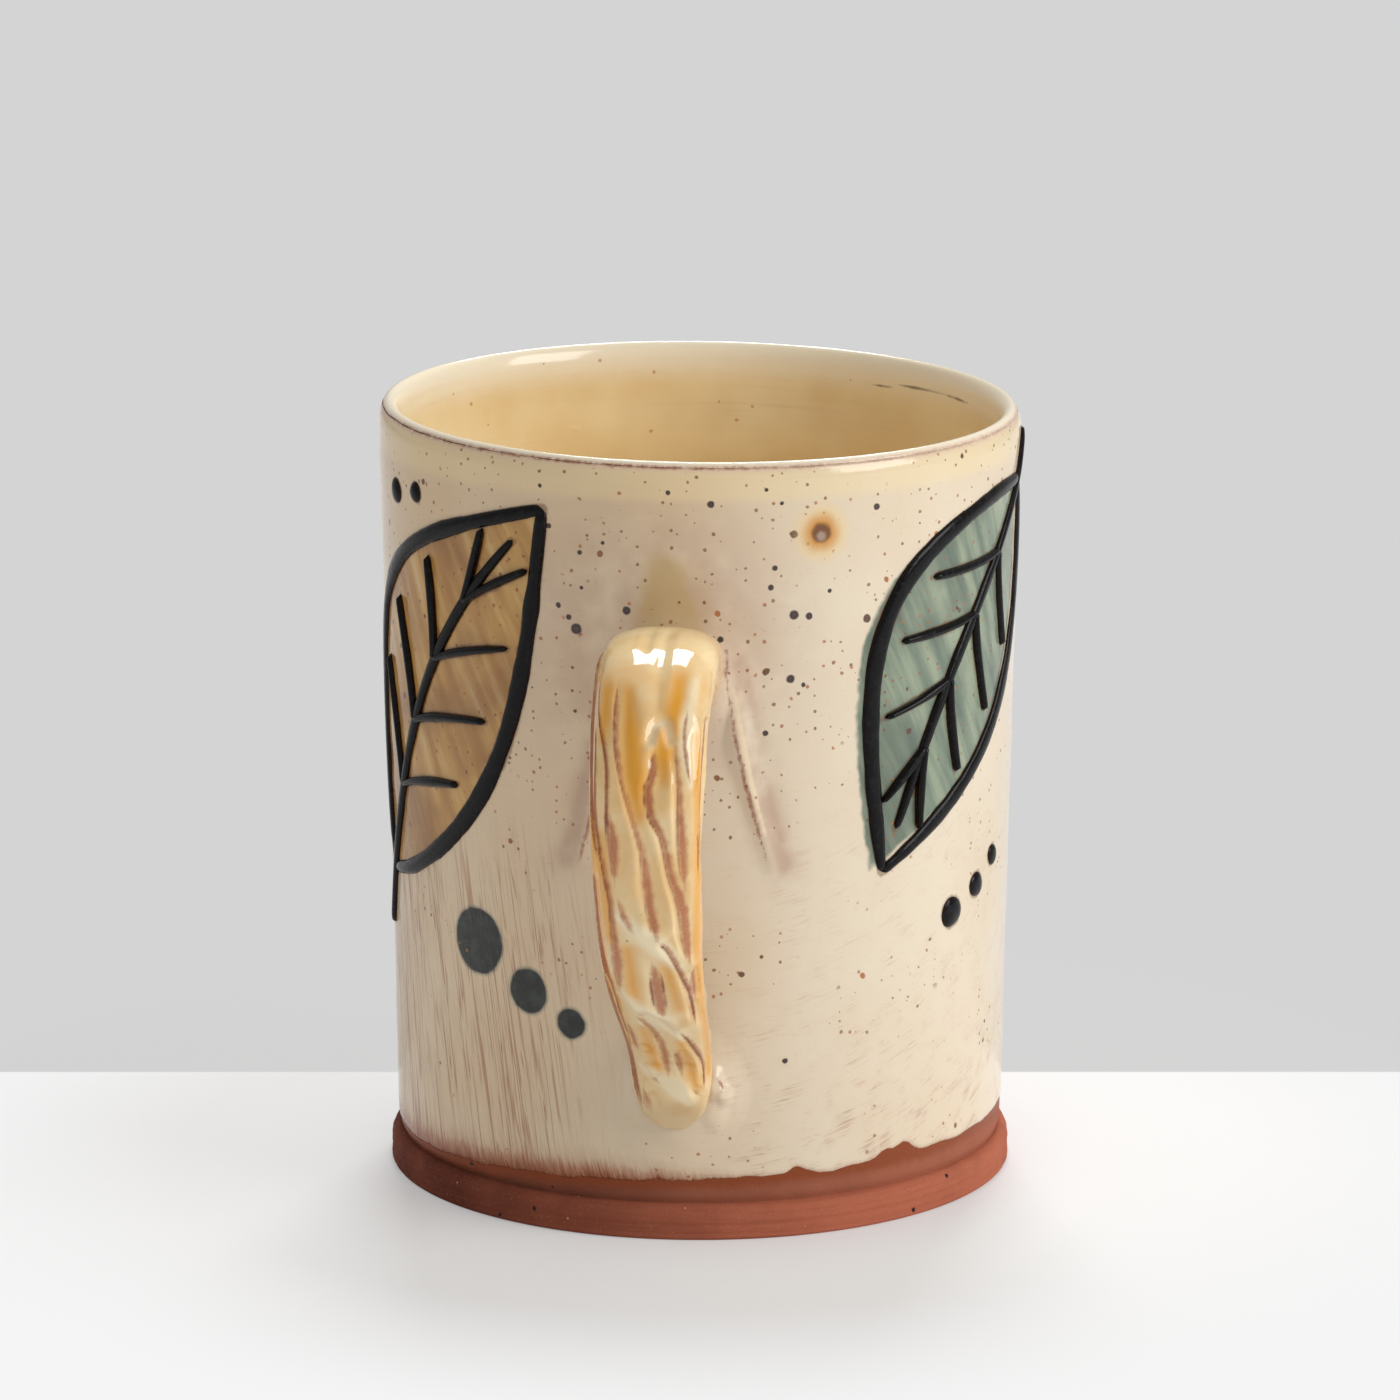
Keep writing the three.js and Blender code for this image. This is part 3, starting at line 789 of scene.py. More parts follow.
# A hair line in the slip inside, just below the lip: [across, height], widths
lip_flaw = ([(114, 102.0), (105, 102.9), (97, 103.1), (90, 102.6)], (0.1, 0.25, 0.3, 0.1))

# Flat green dots painted under the glaze: [across, height], width
painted_dots = [((-30.5, 38), 9.2), ((-21.5, 32.5), 6.2), ((-14.8, 28.8), 4.2)]


def below_rim(place):
    return np.array([place[0], mug_height - place[1]], float)


def leaf_point(leaf, along, across):
    base = below_rim(leaf["base"])
    axis = below_rim(leaf["tip"]) - base
    side = np.array([-axis[1], axis[0]]) / np.linalg.norm(axis)
    offset = across * leaf["half"] + leaf["bend"] * np.sin(math.pi * along)
    return base + axis * along[:, None] + side * offset[:, None]


def leaf_share(along):
    return np.sin(math.pi * np.clip(along, 0, 1) ** leaf_fullness)


def leaf_strokes(leaf):
    """Each stroke of a leaf as a path [across, height] and its width."""
    t = np.linspace(0, 1, leaf_steps + 1)
    stem = lerp(-stem_share, rib_share, t)
    strokes = [
        (leaf_point(leaf, t, leaf_share(t)), outline_width),
        (leaf_point(leaf, t, -leaf_share(t)), outline_width),
        (leaf_point(leaf, stem, 0 * stem), rib_width),
    ]
    for start in np.linspace(first_vein, last_vein, vein_pairs):
        along = lerp(start, start + vein_lean, t)
        for side in (-1, 1):
            reach = side * vein_reach * leaf_share(along[-1])
            strokes.append((leaf_point(leaf, along, reach * t ** vein_sweep), vein_width))
    return strokes


def leaf_edge(across, height, leaf):
    """Distance outside a leaf's outline, below nought inside it."""
    t = np.linspace(0, 1, 4 * leaf_steps)
    left, right = leaf_point(leaf, t, leaf_share(t)), leaf_point(leaf, t, -leaf_share(t))
    outline = np.vstack([left, right[-2:0:-1]])
    near = near_box(across, height, outline)
    edge = np.full(across.shape, far_away)
    u, v = across[near], height[near]
    distance = path_distance(u, v, outline)[0]
    inside = np.zeros(u.shape, bool)
    for (x0, y0), (x1, y1) in zip(outline, np.roll(outline, -1, axis=0)):
        if y0 != y1:
            crosses = (y0 > v) != (y1 > v)
            inside ^= crosses & (u < x0 + (v - y0) / (y1 - y0) * (x1 - x0))
    edge[near] = np.where(inside, -distance, distance)
    return np.minimum(edge, far_away)


def bead(path, width, layer):
    """One bead of slip along a path on the wall, with a slightly uneven width and round ends."""
    count = max(fewest_bead_rings, int(path_length(path) / bead_step))
    middle = evenly(curve_through(path), count)
    ahead = directions(middle)
    t = np.linspace(0, 1, count)
    full = np.sin(math.pi * np.clip(t, bead_tip, 1 - bead_tip)) ** trail_fullness
    place = np.stack([middle[:, 0], middle[:, 1], np.full(count, width * bead_apart)], axis=1)
    uneven = 1 + sum(share * cloud(place, size) for share, size in bead_waver)
    from_end = np.minimum(t, 1 - t) * path_length(path)
    end = 1 - np.clip(from_end / (width * bead_end_round), 0, 1)
    rounding = np.sqrt(np.clip(1 - end ** 2, narrowest_end, 1))
    swell = np.minimum(lerp(trail_tip, 1, full) * uneven, widest_bead)
    half = (width / 2 * swell * rounding)[:, None]
    turn = np.linspace(0, math.pi, bead_sides)[None, :]
    side = np.cos(turn)
    foot, top = trail_foot - trail_sink, trail_height + trail_layer * layer
    rise = np.sin(turn) ** bead_bulge * np.minimum(1, half / (width * bead_low_below))
    across = middle[:, :1] - ahead[:, 1:] * half * side
    height = middle[:, 1:] + ahead[:, :1] * half * side
    rings = on_wall(across, height, lerp(foot, top, rise))
    return skin(rings, True, {"bead_side": np.abs(side) + 0 * across})


def make_trails(material):
    for name, leaf in leaves.items():
        beads = [bead(path, width, k) for k, (path, width) in enumerate(leaf_strokes(leaf))]
        make_piece(name.replace("trail", "drawing"), beads, material, [name])


def make_dots(material):
    turn = even_turn(dot_columns)
    rise = np.linspace(0, dot_top, dot_rows)[:, None] * math.pi / 2
    for k, (place, width) in enumerate(slip_dots, 1):
        across, height = below_rim(place)
        uneven = 1 + sum(share * np.sin(lobes * turn + step * k) for share, lobes, step in dot_waver)
        half = width / 2 * np.cos(rise) * uneven
        proud = lerp(trail_foot - trail_sink, trail_height, np.sin(rise))
        rings = on_wall(across + half * np.cos(turn), height + half * np.sin(turn), proud)
        parts = skin(rings, True, {"bead_side": np.cos(rise) + 0 * turn})
        make_piece(f"raised_dot_{k}", [parts], material, [f"slip_dot_{k}"])


# The cream skin outside the wall, with the joining clay under it

def wing_stroke(side, start_share=0.0, end_share=1.0, shift=0.0):
    start, end = np.array(wing_start), np.array(wing_end)
    points = []
    for t in np.linspace(start_share, end_share, wing_points):
        across, height = lerp(start, end, t) + np.array(wing_bow) * math.sin(math.pi * t)
        points.append((side * (across + shift), height))
    return points


# Lumps of clay pressed in round the strap's foot: [across, height], half-sizes, rise
foot_lumps = [
    ((5.6, 21.8), (1.2, 2.2), 0.9),
    ((6.9, 20.2), (1.0, 1.4), 0.8),
    ((5.6, 17.6), (1.6, 2.4), 0.3),
    ((-5.2, 21), (1.6, 4.5), 0.5),
    ((-1.5, 12.5), (5.5, 2.8), 0.4),
]
foot_print = ([(0, 27), (0, 20)], (9.6, 5.6))

# Lines along the wings: side, where they start and end as shares of the wing, shift, widths
wing_reds = [
    (1, 0.02, 0.97, -0.45, (0.1, 0.3, 0.4, 0.5, 0.1)),
    (-1, 0.15, 1.0, -0.2, (0.2, 0.6, 0.6, 0.5, 0.1)),
]
# A painted highlight along the right wing's lit slope, in the same columns
wing_highlights = [(1, 0.12, 0.85, 0.35, (0.3, 0.7, 0.6, 0.2))]
# Short red lines beside the handle's root and foot: [across, height], widths
root_reds = [
    ([(7.0, 81), (7.1, 79.5), (7.1, 78)], (0.1, 0.2, 0.2)),
    ([(5.9, 22.8), (6.5, 21.6), (6.4, 20.8)], (0.1, 0.3, 0.1)),
]


def joined_clay(across, height):
    """How far the joining clay stands out of the wall under the slip."""
    proud = upper_pad_proud * dome(across, height, (0, upper_root_height), upper_pad_half)
    proud = np.maximum(proud, lower_pad_proud * dome(across, height, lower_pad_place, lower_pad_half))
    edge = stroke_edge(across, height, *foot_print)[0]
    fillet = foot_fillet * np.exp(-np.maximum(edge, 0) / fillet_reach)
    proud = np.maximum(proud, fillet * smooth_step(*fillet_below, height))
    for place, half, rise in foot_lumps:
        proud = proud + rise * dome(across, height, place, half)
    top, bottom = wing_start[1], wing_end[1]
    tall = lerp(*wing_proud, np.clip((top - height) / (top - bottom), 0, 1))
    tall = tall * smooth_step(top + wing_fade[0], top + wing_fade[1], height)
    for side in (-1, 1):
        edge = stroke_edge(across, height, wing_stroke(side), wing_widths)[0]
        proud = np.maximum(proud, tall * near_stroke(edge + wing_inset, wing_reach))
    return proud


# How warm the slip's colour is round the wall: [across, share]
warmth_round = [
    (-137, 0.5), (-100, 0.55), (-60, 0.5), (-24, 0.65), (2, 0.35), (18, 0.06), (40, 0.06),
    (70, 0.15), (137, 0.5),
]
warmer_near_rim = 0.2
warmer_from = (84, 103)
# Bare bites in the slip's lower edge, and one curl of slip below it: [across, half-width, rise]
edge_chips = ((17.4, 1.3, 0.8), (22.0, 2.2, -0.5), (31.5, 1.6, 1.4), (35.0, 2.0, 1.8))
# A smear of honey glaze above the handle
smear_stroke = ([(-1.4, 92), (-1.0, 88), (-0.4, 83)], (4.2, 6.5, 9.0))
# Where the slip is thin: round the handle's root, where its pink is painted shade as well, and
# outside each wing
thin_slip_and_shade_place = (-3, 82)
thin_slip_and_shade_half = (21, 21)
thin_slip_and_shade_share = 0.5
thin_by_wing_shift = 1.8
thin_by_wing_widths = (1.5, 1.5)
thin_by_wing_reach = 1.6
thin_by_wing_share = 0.7
# Where the brush's marks show, each from nought at its first number to one at its second
arc_centre = (5, 110)
arcs_from = (-2, 14)
arcs_up_to = (80, 50)
arcs_below = (64, 48)
arcs_weaker_above = (36, 16)
weaker_arcs = 0.45
steep_from = (-6, -22)
steep_below = (60, 40)
steep_weaker_behind = (50, 80)
weaker_steep = 0.6
right_behind = (60, 90)
right_steep = 0.35
right_steep_below = (90, 50)
feathered_from = (14, -16)
right_feathered = 0.6
# Throwing marks under the slip: depth, the stretch round the wall, and the sizes of rings and dents
throwing_depth = 0.05
throwing_stretch = (0.08, 0.08, 1)
throwing_size = 3.2
dent_size = 22.0
# Washes of colour behind the leaves, by layer. The first two lie a little off the outline
washes = {
    "ochre_edge": dict(leaves["ochre_leaf_trail"], half=15.8),
    "green_edge": dict(leaves["green_leaf_trail"], base=(60.5, 9.5), tip=(28, 57), half=15.8),
    "back_edge": leaves["back_leaf_trail"],
}


def unwrapped(across, name):
    """Distances across, counted on past the right for what lies at the back."""
    if name.startswith("back"):
        return np.where(across < 0, across + 2 * math.pi * rim_radius, across)
    return across


def slip_edges(across, height):
    """Distances outside the washes, trails, dots, lines, the smear on the slip and the painted
    highlight by the right wing.
    """
    edges = {
        name: leaf_edge(unwrapped(across, name), height, leaf) for name, leaf in washes.items()
    }
    trail = np.full(height.shape, far_away)
    for name, leaf in leaves.items():
        for path, width in leaf_strokes(leaf):
            widths = (width * trail_tip, width, width * trail_tip)
            trail = np.minimum(trail, stroke_edge(unwrapped(across, name), height, path, widths)[0])
    for place, width in slip_dots:
        x, z = below_rim(place)
        trail = np.minimum(trail, np.hypot(across - x, height - z) - width / 2)
    dots = np.full(height.shape, far_away)
    for (x, z), width in painted_dots:
        dots = np.minimum(dots, np.hypot(across - x, height - z) - width / 2)
    reds = [(wing_stroke(*stroke), widths) for *stroke, widths in wing_reds]
    highlights = [(wing_stroke(*stroke), widths) for *stroke, widths in wing_highlights]
    edges["trail_edge"] = trail
    edges["dot_edge"] = dots
    edges["red_edge"] = nearest_stroke(across, height, reds + root_reds)
    edges["pale_and_highlight_edge"] = nearest_stroke(across, height, highlights)
    edges["smear_edge"] = stroke_edge(across, height, *smear_stroke)[0]
    return edges


def slip_zones(across, height):
    """Shares from nought to one of where the slip is thin, with painted shade round the handle's
    root, and where the brush's marks show.
    """
    beside = [(wing_stroke(side, shift=thin_by_wing_shift), thin_by_wing_widths) for side in (-1, 1)]
    beside = np.exp(-np.maximum(nearest_stroke(across, height, beside), 0) / thin_by_wing_reach)
    thin = thin_slip_and_shade_share * dome(across, height, thin_slip_and_shade_place, thin_slip_and_shade_half)
    arcs = smooth_step(*arcs_from, across) * smooth_step(*arcs_below, height)
    arcs = arcs * smooth_step(*arcs_up_to, across)
    arcs = arcs * lerp(weaker_arcs, 1, smooth_step(*arcs_weaker_above, height))
    steep = smooth_step(*steep_from, across) * smooth_step(*steep_below, height)
    steep = steep * lerp(1, weaker_steep, smooth_step(*steep_weaker_behind, np.abs(across)))
    behind = smooth_step(*right_behind, across)
    steep = steep + right_steep * behind * smooth_step(*right_steep_below, height)
    return {
        "thin_slip_and_shade": np.maximum(thin, thin_by_wing_share * beside),
        "arc_zone": arcs,
        "steep_zone": np.clip(steep, 0, 1),
    }


def carried_on(values, rows, beyond=None):
    """Values on the wall, carried on over the lip and the back of the coat."""
    end = values[-1:] if beyond is None else np.full_like(values[-1:], beyond)
    return np.concatenate([values, np.repeat(end, rows - len(values), axis=0)])


def slip_layers(across, height, low, rows):
    """What the slip's material reads off its skin."""
    feathered = smooth_step(*feathered_from, across)
    feathered = feathered + right_feathered * smooth_step(*right_behind, across)
    warmth = np.interp(across, *np.array(warmth_round).T)
    warmth = warmth + warmer_near_rim * smooth_step(*warmer_from, height)
    arc_reach = np.hypot(across - arc_centre[0], height - arc_centre[1])
    layers = {
        "above_edge": carried_on(height - low, rows, mug_height),
        "warmth": carried_on(warmth, rows),
        "arc_reach": carried_on(arc_reach, rows),
        "feathered": carried_on(feathered, rows),
    }
    for name, values in slip_edges(across, height).items():
        layers[name] = carried_on(values, rows, far_away)
    for name, values in slip_zones(across, height).items():
        layers[name] = carried_on(values, rows, 0)
    return layers


def frayed_edge(angle):
    """Height of the slip's lower edge, with its small frays and chips."""
    across, circle = signed_turn(angle) * rim_radius, circle_points(angle)
    detail, detail_size, detail_shift = fray_detail
    fray = cloud(circle, fray_size) + detail * cloud(circle, detail_size, detail_shift)
    chips = sum(rise * np.exp(-((across - middle) / half) ** 2) for middle, half, rise in edge_chips)
    return slip_edge(angle) + slip_edge_fray * fray + chips


def make_slip_coat(material):
    angle = wall_columns()[None, :]
    across = signed_turn(angle) * rim_radius
    low = frayed_edge(angle)
    height = lerp(low, lip_base, np.linspace(0, 1, wall_rows)[:, None])
    across = across + 0 * height
    x, y = rim_radius * np.sin(angle), -rim_radius * np.cos(angle)
    place = np.stack([x + 0 * height, y + 0 * height, height], axis=-1)
    thrown = cloud(place * throwing_stretch, throwing_size) + cloud(place, dent_size)
    proud = joined_clay(across, height) + throwing_depth * thrown
    thin = edge_thinning * np.exp(-(height - low) / edge_thinning_reach)
    top_turn = lip_line_turn - lip_line_half_turn * line_gap(angle, outer_gap_shift)
    lip_turn = top_turn * np.linspace(0, 1, lip_rows)[1:, None]
    rings, _ = lathe(angle, [
        (wall_radius(height) + proud - skin_inset - thin, height),
        lip_arc(skin_inset, lip_turn),
        lip_arc(coat_thickness, top_turn),
        (wall_radius(low) - coat_thickness, low + skin_inset),
    ])
    layers = slip_layers(across, height, low, len(rings))
    layers["line_reach"] = np.concatenate([
        lip_line_turn * lip_round + lip_base - height,
        (lip_line_turn - lip_turn) * lip_round,
        np.zeros((2, angle.size)),
    ])
    parts = skin(rings, False, layers)
    covered = ["outer_slip_coat", "upper_joint_clay", "lower_joint_clay"]
    return make_piece("cream_slip_coat", [parts], material, covered)


# The slip inside, the foot and the clay wall

# Throwing rings in the slip inside: depth, length, and how far below the lip they come in
ring_depth = 0.06
ring_length = 2.3
rings_from = (6, 30)
floor_ring_depth = 0.12
floor_ring_length = 1.4
floor_rings_from = 6
hidden_lip_shares = (0, 0.2, 0.4, 0.6, 0.8)
# Lines left by trimming on the flange: depth, radians of their wave per millimetre, start
trimming_lines = ((0.05, 5.5, 0), (0.04, 2.1, 1))
# Bumps of the clay: depth and size. The chips have a size and a shift of their own
clay_bumps = ((0.07, 2.3), (0.05, 0.9))
bump_rest = 0.06
bumps_from_rim = (4, 0.5)
bumps_above = (-0.01, 0.4)
chip_size = (3.1, 0.4)
chip_rarity = 0.72
chip_depth = 2.2
chips_from = 1.8
seat_step = 1
# How far the clay goes up behind the slip, and the rows of its low part, side, lip and inside
clay_above_edge = (4, 6)
clay_rows = (26, 12, 15, 12)
groove_width = 0.6
line_clay_turns = ((0.2, 0.5), (1.4, 1.0))
hidden_corner_share = 0.4


def make_liner(material):
    """The slip and glaze over the lip and inside, down to the middle of the floor."""
    angle = even_turn(liner_columns)
    start = lip_line_turn + lip_line_half_turn * line_gap(angle, inner_gap_shift)
    lip_turn = lerp(start, math.pi, np.linspace(0, 1, liner_lip_rows)[:, None])
    corner_top = floor_height + corner_radius
    corner_middle = inner_radius(corner_top) - corner_radius
    side = np.linspace(lip_base, corner_top, liner_side_rows)[1:, None]
    shown = smooth_step(lip_base - rings_from[0], lip_base - rings_from[1], side)
    thrown = ring_depth * np.sin(side / ring_length) * shown
    turn = np.linspace(0, math.pi / 2, corner_rows)[1:, None]
    corner_side = corner_middle + (corner_radius + thrown[-1] * np.cos(turn)) * np.cos(turn)
    floor = np.linspace(corner_middle, pole_radius, floor_rows)[1:, None]
    ripple = floor_ring_depth * np.sin(floor / floor_ring_length)
    ripple = ripple * smooth_step(0, floor_rings_from, floor)
    top, height = lathe(angle, [
        lip_arc(skin_inset, lip_turn),
        (inner_radius(side) + thrown, side),
        (corner_side, corner_top - corner_radius * np.sin(turn)),
        (floor, floor_height + ripple),
    ])
    hidden_radius = corner_radius + coat_thickness
    under, _ = lathe(angle, [
        lip_arc(coat_thickness, lerp(start, math.pi, column(*hidden_lip_shares))),
        (inner_radius(column(lip_base, corner_top)) + coat_thickness, column(lip_base, corner_top)),
        (corner_middle + hidden_radius * np.cos(turn), corner_top - hidden_radius * np.sin(turn)),
        (column(pole_radius), floor_height - coat_thickness),
    ])
    flaw = stroke_edge(signed_turn(angle) * rim_radius + 0 * height, height, *lip_flaw)[0]
    reach = np.full(height.shape, far_away)
    reach[:len(lip_turn)] = (lip_turn - lip_line_turn) * lip_round
    layers = {"flaw_edge": flaw, "inside_height": height, "line_reach": reach}
    hidden = np.zeros((len(under), 1))
    layers = {
        name: np.concatenate([values[::-1], hidden + values[0]]) for name, values in layers.items()
    }
    parts = skin(np.concatenate([top[::-1], under]), True, layers)
    return make_piece("liner_coat", [parts], material, ["liner_slip_coat"])


def make_foot(material):
    """The flange and the flat underside, with trimming lines, small chips and a soft top edge."""
    angle = even_turn(foot_columns)
    circle = np.stack([np.sin(angle), -np.cos(angle), 0 * angle], axis=-1) * foot_radius
    under = np.linspace(pole_radius, foot_radius - foot_edge, foot_under_rows)[:-1, None]
    edge_turn = np.linspace(0, math.pi / 2, foot_edge_rows)[:-1, None]
    side = np.linspace(foot_edge, foot_height - foot_shoulder_drop, foot_side_rows)[:, None]
    trimming = sum(depth * np.sin(side * pitch + start) for depth, pitch, start in trimming_lines)
    shoulder = np.linspace(0, math.pi / 2, shoulder_rows)[1:, None]
    boss = inner_radius(floor_height + corner_radius) - corner_radius - floor_clearance
    boss_top = floor_height - clay_inset
    rings, height = lathe(angle, [
        (under, 0 * under),
        (foot_radius - foot_edge * (1 - np.sin(edge_turn)), foot_edge * (1 - np.cos(edge_turn))),
        (foot_radius - skin_inset + trimming, side),
        (
            foot_radius - skin_inset - foot_shoulder * (1 - np.cos(shoulder)),
            foot_height - foot_shoulder_drop * (1 - np.sin(shoulder)),
        ),
        (column(wall_radius(foot_height) - seat_step, boss), foot_height),
        (column(boss, pole_radius), boss_top),
    ])
    radius = np.hypot(rings[..., 0], rings[..., 1])
    bumpy = sum(depth * cloud(rings, size) for depth, size in clay_bumps)
    chip = np.clip(cloud(circle, *chip_size) - chip_rarity, 0, 1) * chip_depth
    outer = smooth_step(foot_radius - bumps_from_rim[0], foot_radius - bumps_from_rim[1], radius)
    outer = outer * smooth_step(*bumps_above, height)
    inward = outer * (bump_rest - bumpy + chip * smooth_step(chips_from, foot_height, height))
    rings[..., :2] *= ((radius - np.maximum(inward, 0)) / radius)[..., None]
    parts = skin(rings, True, {"foot_height": height})
    return make_piece("bare_clay_foot", [parts], material, ["foot_plate"])


def make_clay_wall(material):
    """The clay wall, which shows between the foot and the slip's edge and as a line at the lip."""
    angle = even_turn(liner_columns)
    low_rows, middle_rows, lip_count, inside_rows = clay_rows
    groove_bottom = foot_height - groove_depth
    low = np.linspace(groove_bottom, slip_edge_height + clay_above_edge[0], low_rows)[:, None]
    groove = groove_depth * np.exp(-((low - foot_height) / groove_width) ** 2)
    middle = np.linspace(slip_edge_height + clay_above_edge[1], lip_base, middle_rows)[:, None]
    lip_turn = np.linspace(0, math.pi, lip_count)[1:, None]
    at_line = np.prod([smooth_step(*turns, lip_turn) for turns in line_clay_turns], axis=0)
    corner_top = floor_height + corner_radius
    inside = np.linspace(lip_base, corner_top, inside_rows)[1:, None]
    hidden_corner = inner_radius(corner_top) - corner_radius * hidden_corner_share
    rings, height = lathe(angle, [
        (wall_radius(low) - clay_inset / 2 - groove, low),
        (wall_radius(middle) - clay_inset, middle),
        lip_arc(lerp(clay_inset, lip_clay_inset, at_line), lip_turn),
        (inner_radius(inside) + clay_inset, inside),
        (column(hidden_corner), groove_bottom),
    ])
    below = np.where(height < mug_height / 2, slip_edge(angle) - height, far_away)
    parts = skin(rings, False, {"below_slip": below})
    return make_piece("clay_wall", [parts], material, ["body_wall"])


# Materials

class Paint:
    """Writes a material's nodes in few words. Sizes are in millimetres, shares from nought to one."""

    def __init__(self, name):
        self.material = bpy.data.materials.new(name)
        self.material.use_nodes = True
        self.tree = self.material.node_tree
        self.shader = self.tree.nodes["Principled BSDF"]
        self.place = self.node("TexCoord").outputs["Object"]

    def node(self, kind, inputs=None, **settings):
        """A node with its settings, fed with numbers or with what other nodes put out."""
        node = self.tree.nodes.new("ShaderNode" + kind)
        for name, value in settings.items():
            setattr(node, name, value)
        self.feed(node, inputs or {})
        return node

    def feed(self, node, inputs):
        for name, value in inputs.items():
            if isinstance(value, bpy.types.NodeSocket):
                self.tree.links.new(value, node.inputs[name])
            else:
                node.inputs[name].default_value = value

    def math(self, operation, *values, clamp=False):
        inputs = dict(enumerate(values))
        return self.node("Math", inputs, operation=operation, use_clamp=clamp).outputs[0]

    def times(self, first, second):
        return self.math("MULTIPLY", first, second)

    def sloped(self, value, slope, start):
        """A value times a slope, plus a start."""
        return self.math("MULTIPLY_ADD", value, slope, start)

    def ramp(self, value, low, high):
        """Smoothly from nought at low to one at high; low may be the greater."""
        falling = low > high
        inputs = {
            "Value": value,
            "From Min": min(low, high),
            "From Max": max(low, high),
            "To Min": 1.0 if falling else 0.0,
            "To Max": 0.0 if falling else 1.0,
        }
        return self.node("MapRange", inputs, interpolation_type="SMOOTHSTEP").outputs["Result"]

    def mix(self, share, first, second):
        inputs = {0: share, 6: first, 7: second}
        return self.node("Mix", inputs, data_type="RGBA").outputs[2]

    def over(self, base, share, strength, tint):
        """A tint laid over a colour where the share is above nought, at a strength."""
        return self.mix(self.times(share, strength), base, tint)

    def layer(self, name):
        return self.node("Attribute", attribute_name=name).outputs["Fac"]

    def axis(self, name, place=None):
        """How far along one axis each place is, in millimetres."""
        parts = self.node("SeparateXYZ", {0: place or self.place})
        return self.math("DIVIDE", parts.outputs[name], MM)

    def vector(self, operation, *values):
        return self.node("VectorMath", dict(enumerate(values)), operation=operation).outputs

    def stretched(self, stretch, place=None):
        return self.vector("DIVIDE", place or self.place, stretch)[0]

    def turned(self, angle):
        """Places turned about the upright axis."""
        inputs = {"Vector": self.place, "Angle": angle}
        return self.node("VectorRotate", inputs, rotation_type="Z_AXIS").outputs[0]

    def twisted(self, turn_per_mm):
        """Places turned about the upright axis by an angle that grows with height."""
        return self.turned(self.times(self.axis("Z"), turn_per_mm))

    def noise(self, size, stretch=None, detail=3.0, roughness=0.5, place=None, output=0):
        spot = self.stretched(stretch, place) if stretch else (place or self.place)
        inputs = {
            "Vector": spot,
            "Scale": 1 / (size * MM),
            "Detail": detail,
            "Roughness": roughness,
        }
        return self.node("TexNoise", inputs).outputs[output]

    def wobble(self, value, size, amount):
        """A distance in millimetres made uneven by noise."""
        return self.math("ADD", value, self.sloped(self.noise(size), 2 * amount, -amount))

    def uneven(self, name, size, amount):
        """A layer made uneven by noise."""
        return self.wobble(self.layer(name), size, amount)

    def mark(self, base, name, tint):
        """A tint laid over a colour along the edge of one of the layers."""
        layer, size, amount, low, high, strength = edge_marks[name]
        return self.over(base, self.ramp(self.uneven(layer, size, amount), low, high), strength, tint)

    def patches(self, name):
        """Patches of noise, from nought to one."""
        size, detail, roughness, low, high = noise_patches[name]
        return self.ramp(self.noise(size, detail=detail, roughness=roughness), low, high)

    def streaks(self, name, place=None):
        """Noise drawn out along an axis."""
        return self.noise(*noise_streaks[name], place=place)

    def specks(self, cell, radius, most):
        """Uneven specks, a share of the cells having one, of many sizes up to a radius."""
        shift = self.noise(2 * radius, detail=2.0, output="Color")
        moved = self.vector("MULTIPLY_ADD", shift, (radius * MM,) * 3, self.place)[0]
        cells = self.node("TexVoronoi", {"Vector": moved, "Scale": 1 / (cell * MM)})
        parts = self.node("SeparateColor", {0: cells.outputs["Color"]})
        size = self.times(self.ramp(parts.outputs[0], 1 - most, 1.0), radius / cell)
        inside = self.math("SUBTRACT", size, cells.outputs["Distance"])
        soft = speck_softness * radius / cell
        return self.ramp(inside, -soft, soft), parts.outputs[1]

    def spot(self, point):
        """Distance in millimetres from a point."""
        distance = self.vector("DISTANCE", self.place, tuple(point * MM))["Value"]
        return self.math("DIVIDE", distance, MM)

    def bump(self, height, depth, normal=None):
        inputs = {"Height": height, "Distance": depth * MM}
        if normal:
            inputs["Normal"] = normal
        return self.node("Bump", inputs).outputs[0]

    def finish(self, base, roughness, normal, **sockets):
        self.feed(self.shader, {"Base Color": base, "Roughness": roughness, "Normal": normal})
        self.feed(self.shader, {name.replace("_", " "): value for name, value in sockets.items()})
        return self.material


# How far the lines of the brush turn round the wall for each millimetre of height
steep_twist = 0.0034
wash_twist = 0.012
fringe_twist = 0.006
# Heights and distances over which a colour comes in, from nought to full, in millimetres
upper_part = (40, 75)
rim_band = (99.8, 101.6)
pink_band = (5.5, 0.2)
orange_band = (3.2, 0.9)
brown_band = (1.4, -0.2)
rust_glow_reach = (4.8, 2.4)
rust_reach = (3.4, 1.2)
rust_core_reach = (1.7, 1.0)
rust_pale_reach = (0.95, 0.35)
rust_pale_drop = 0.5
# Below which the strap's painted light comes in
painted_light_below = (56, 44)
lip_line_place = (30, -5)
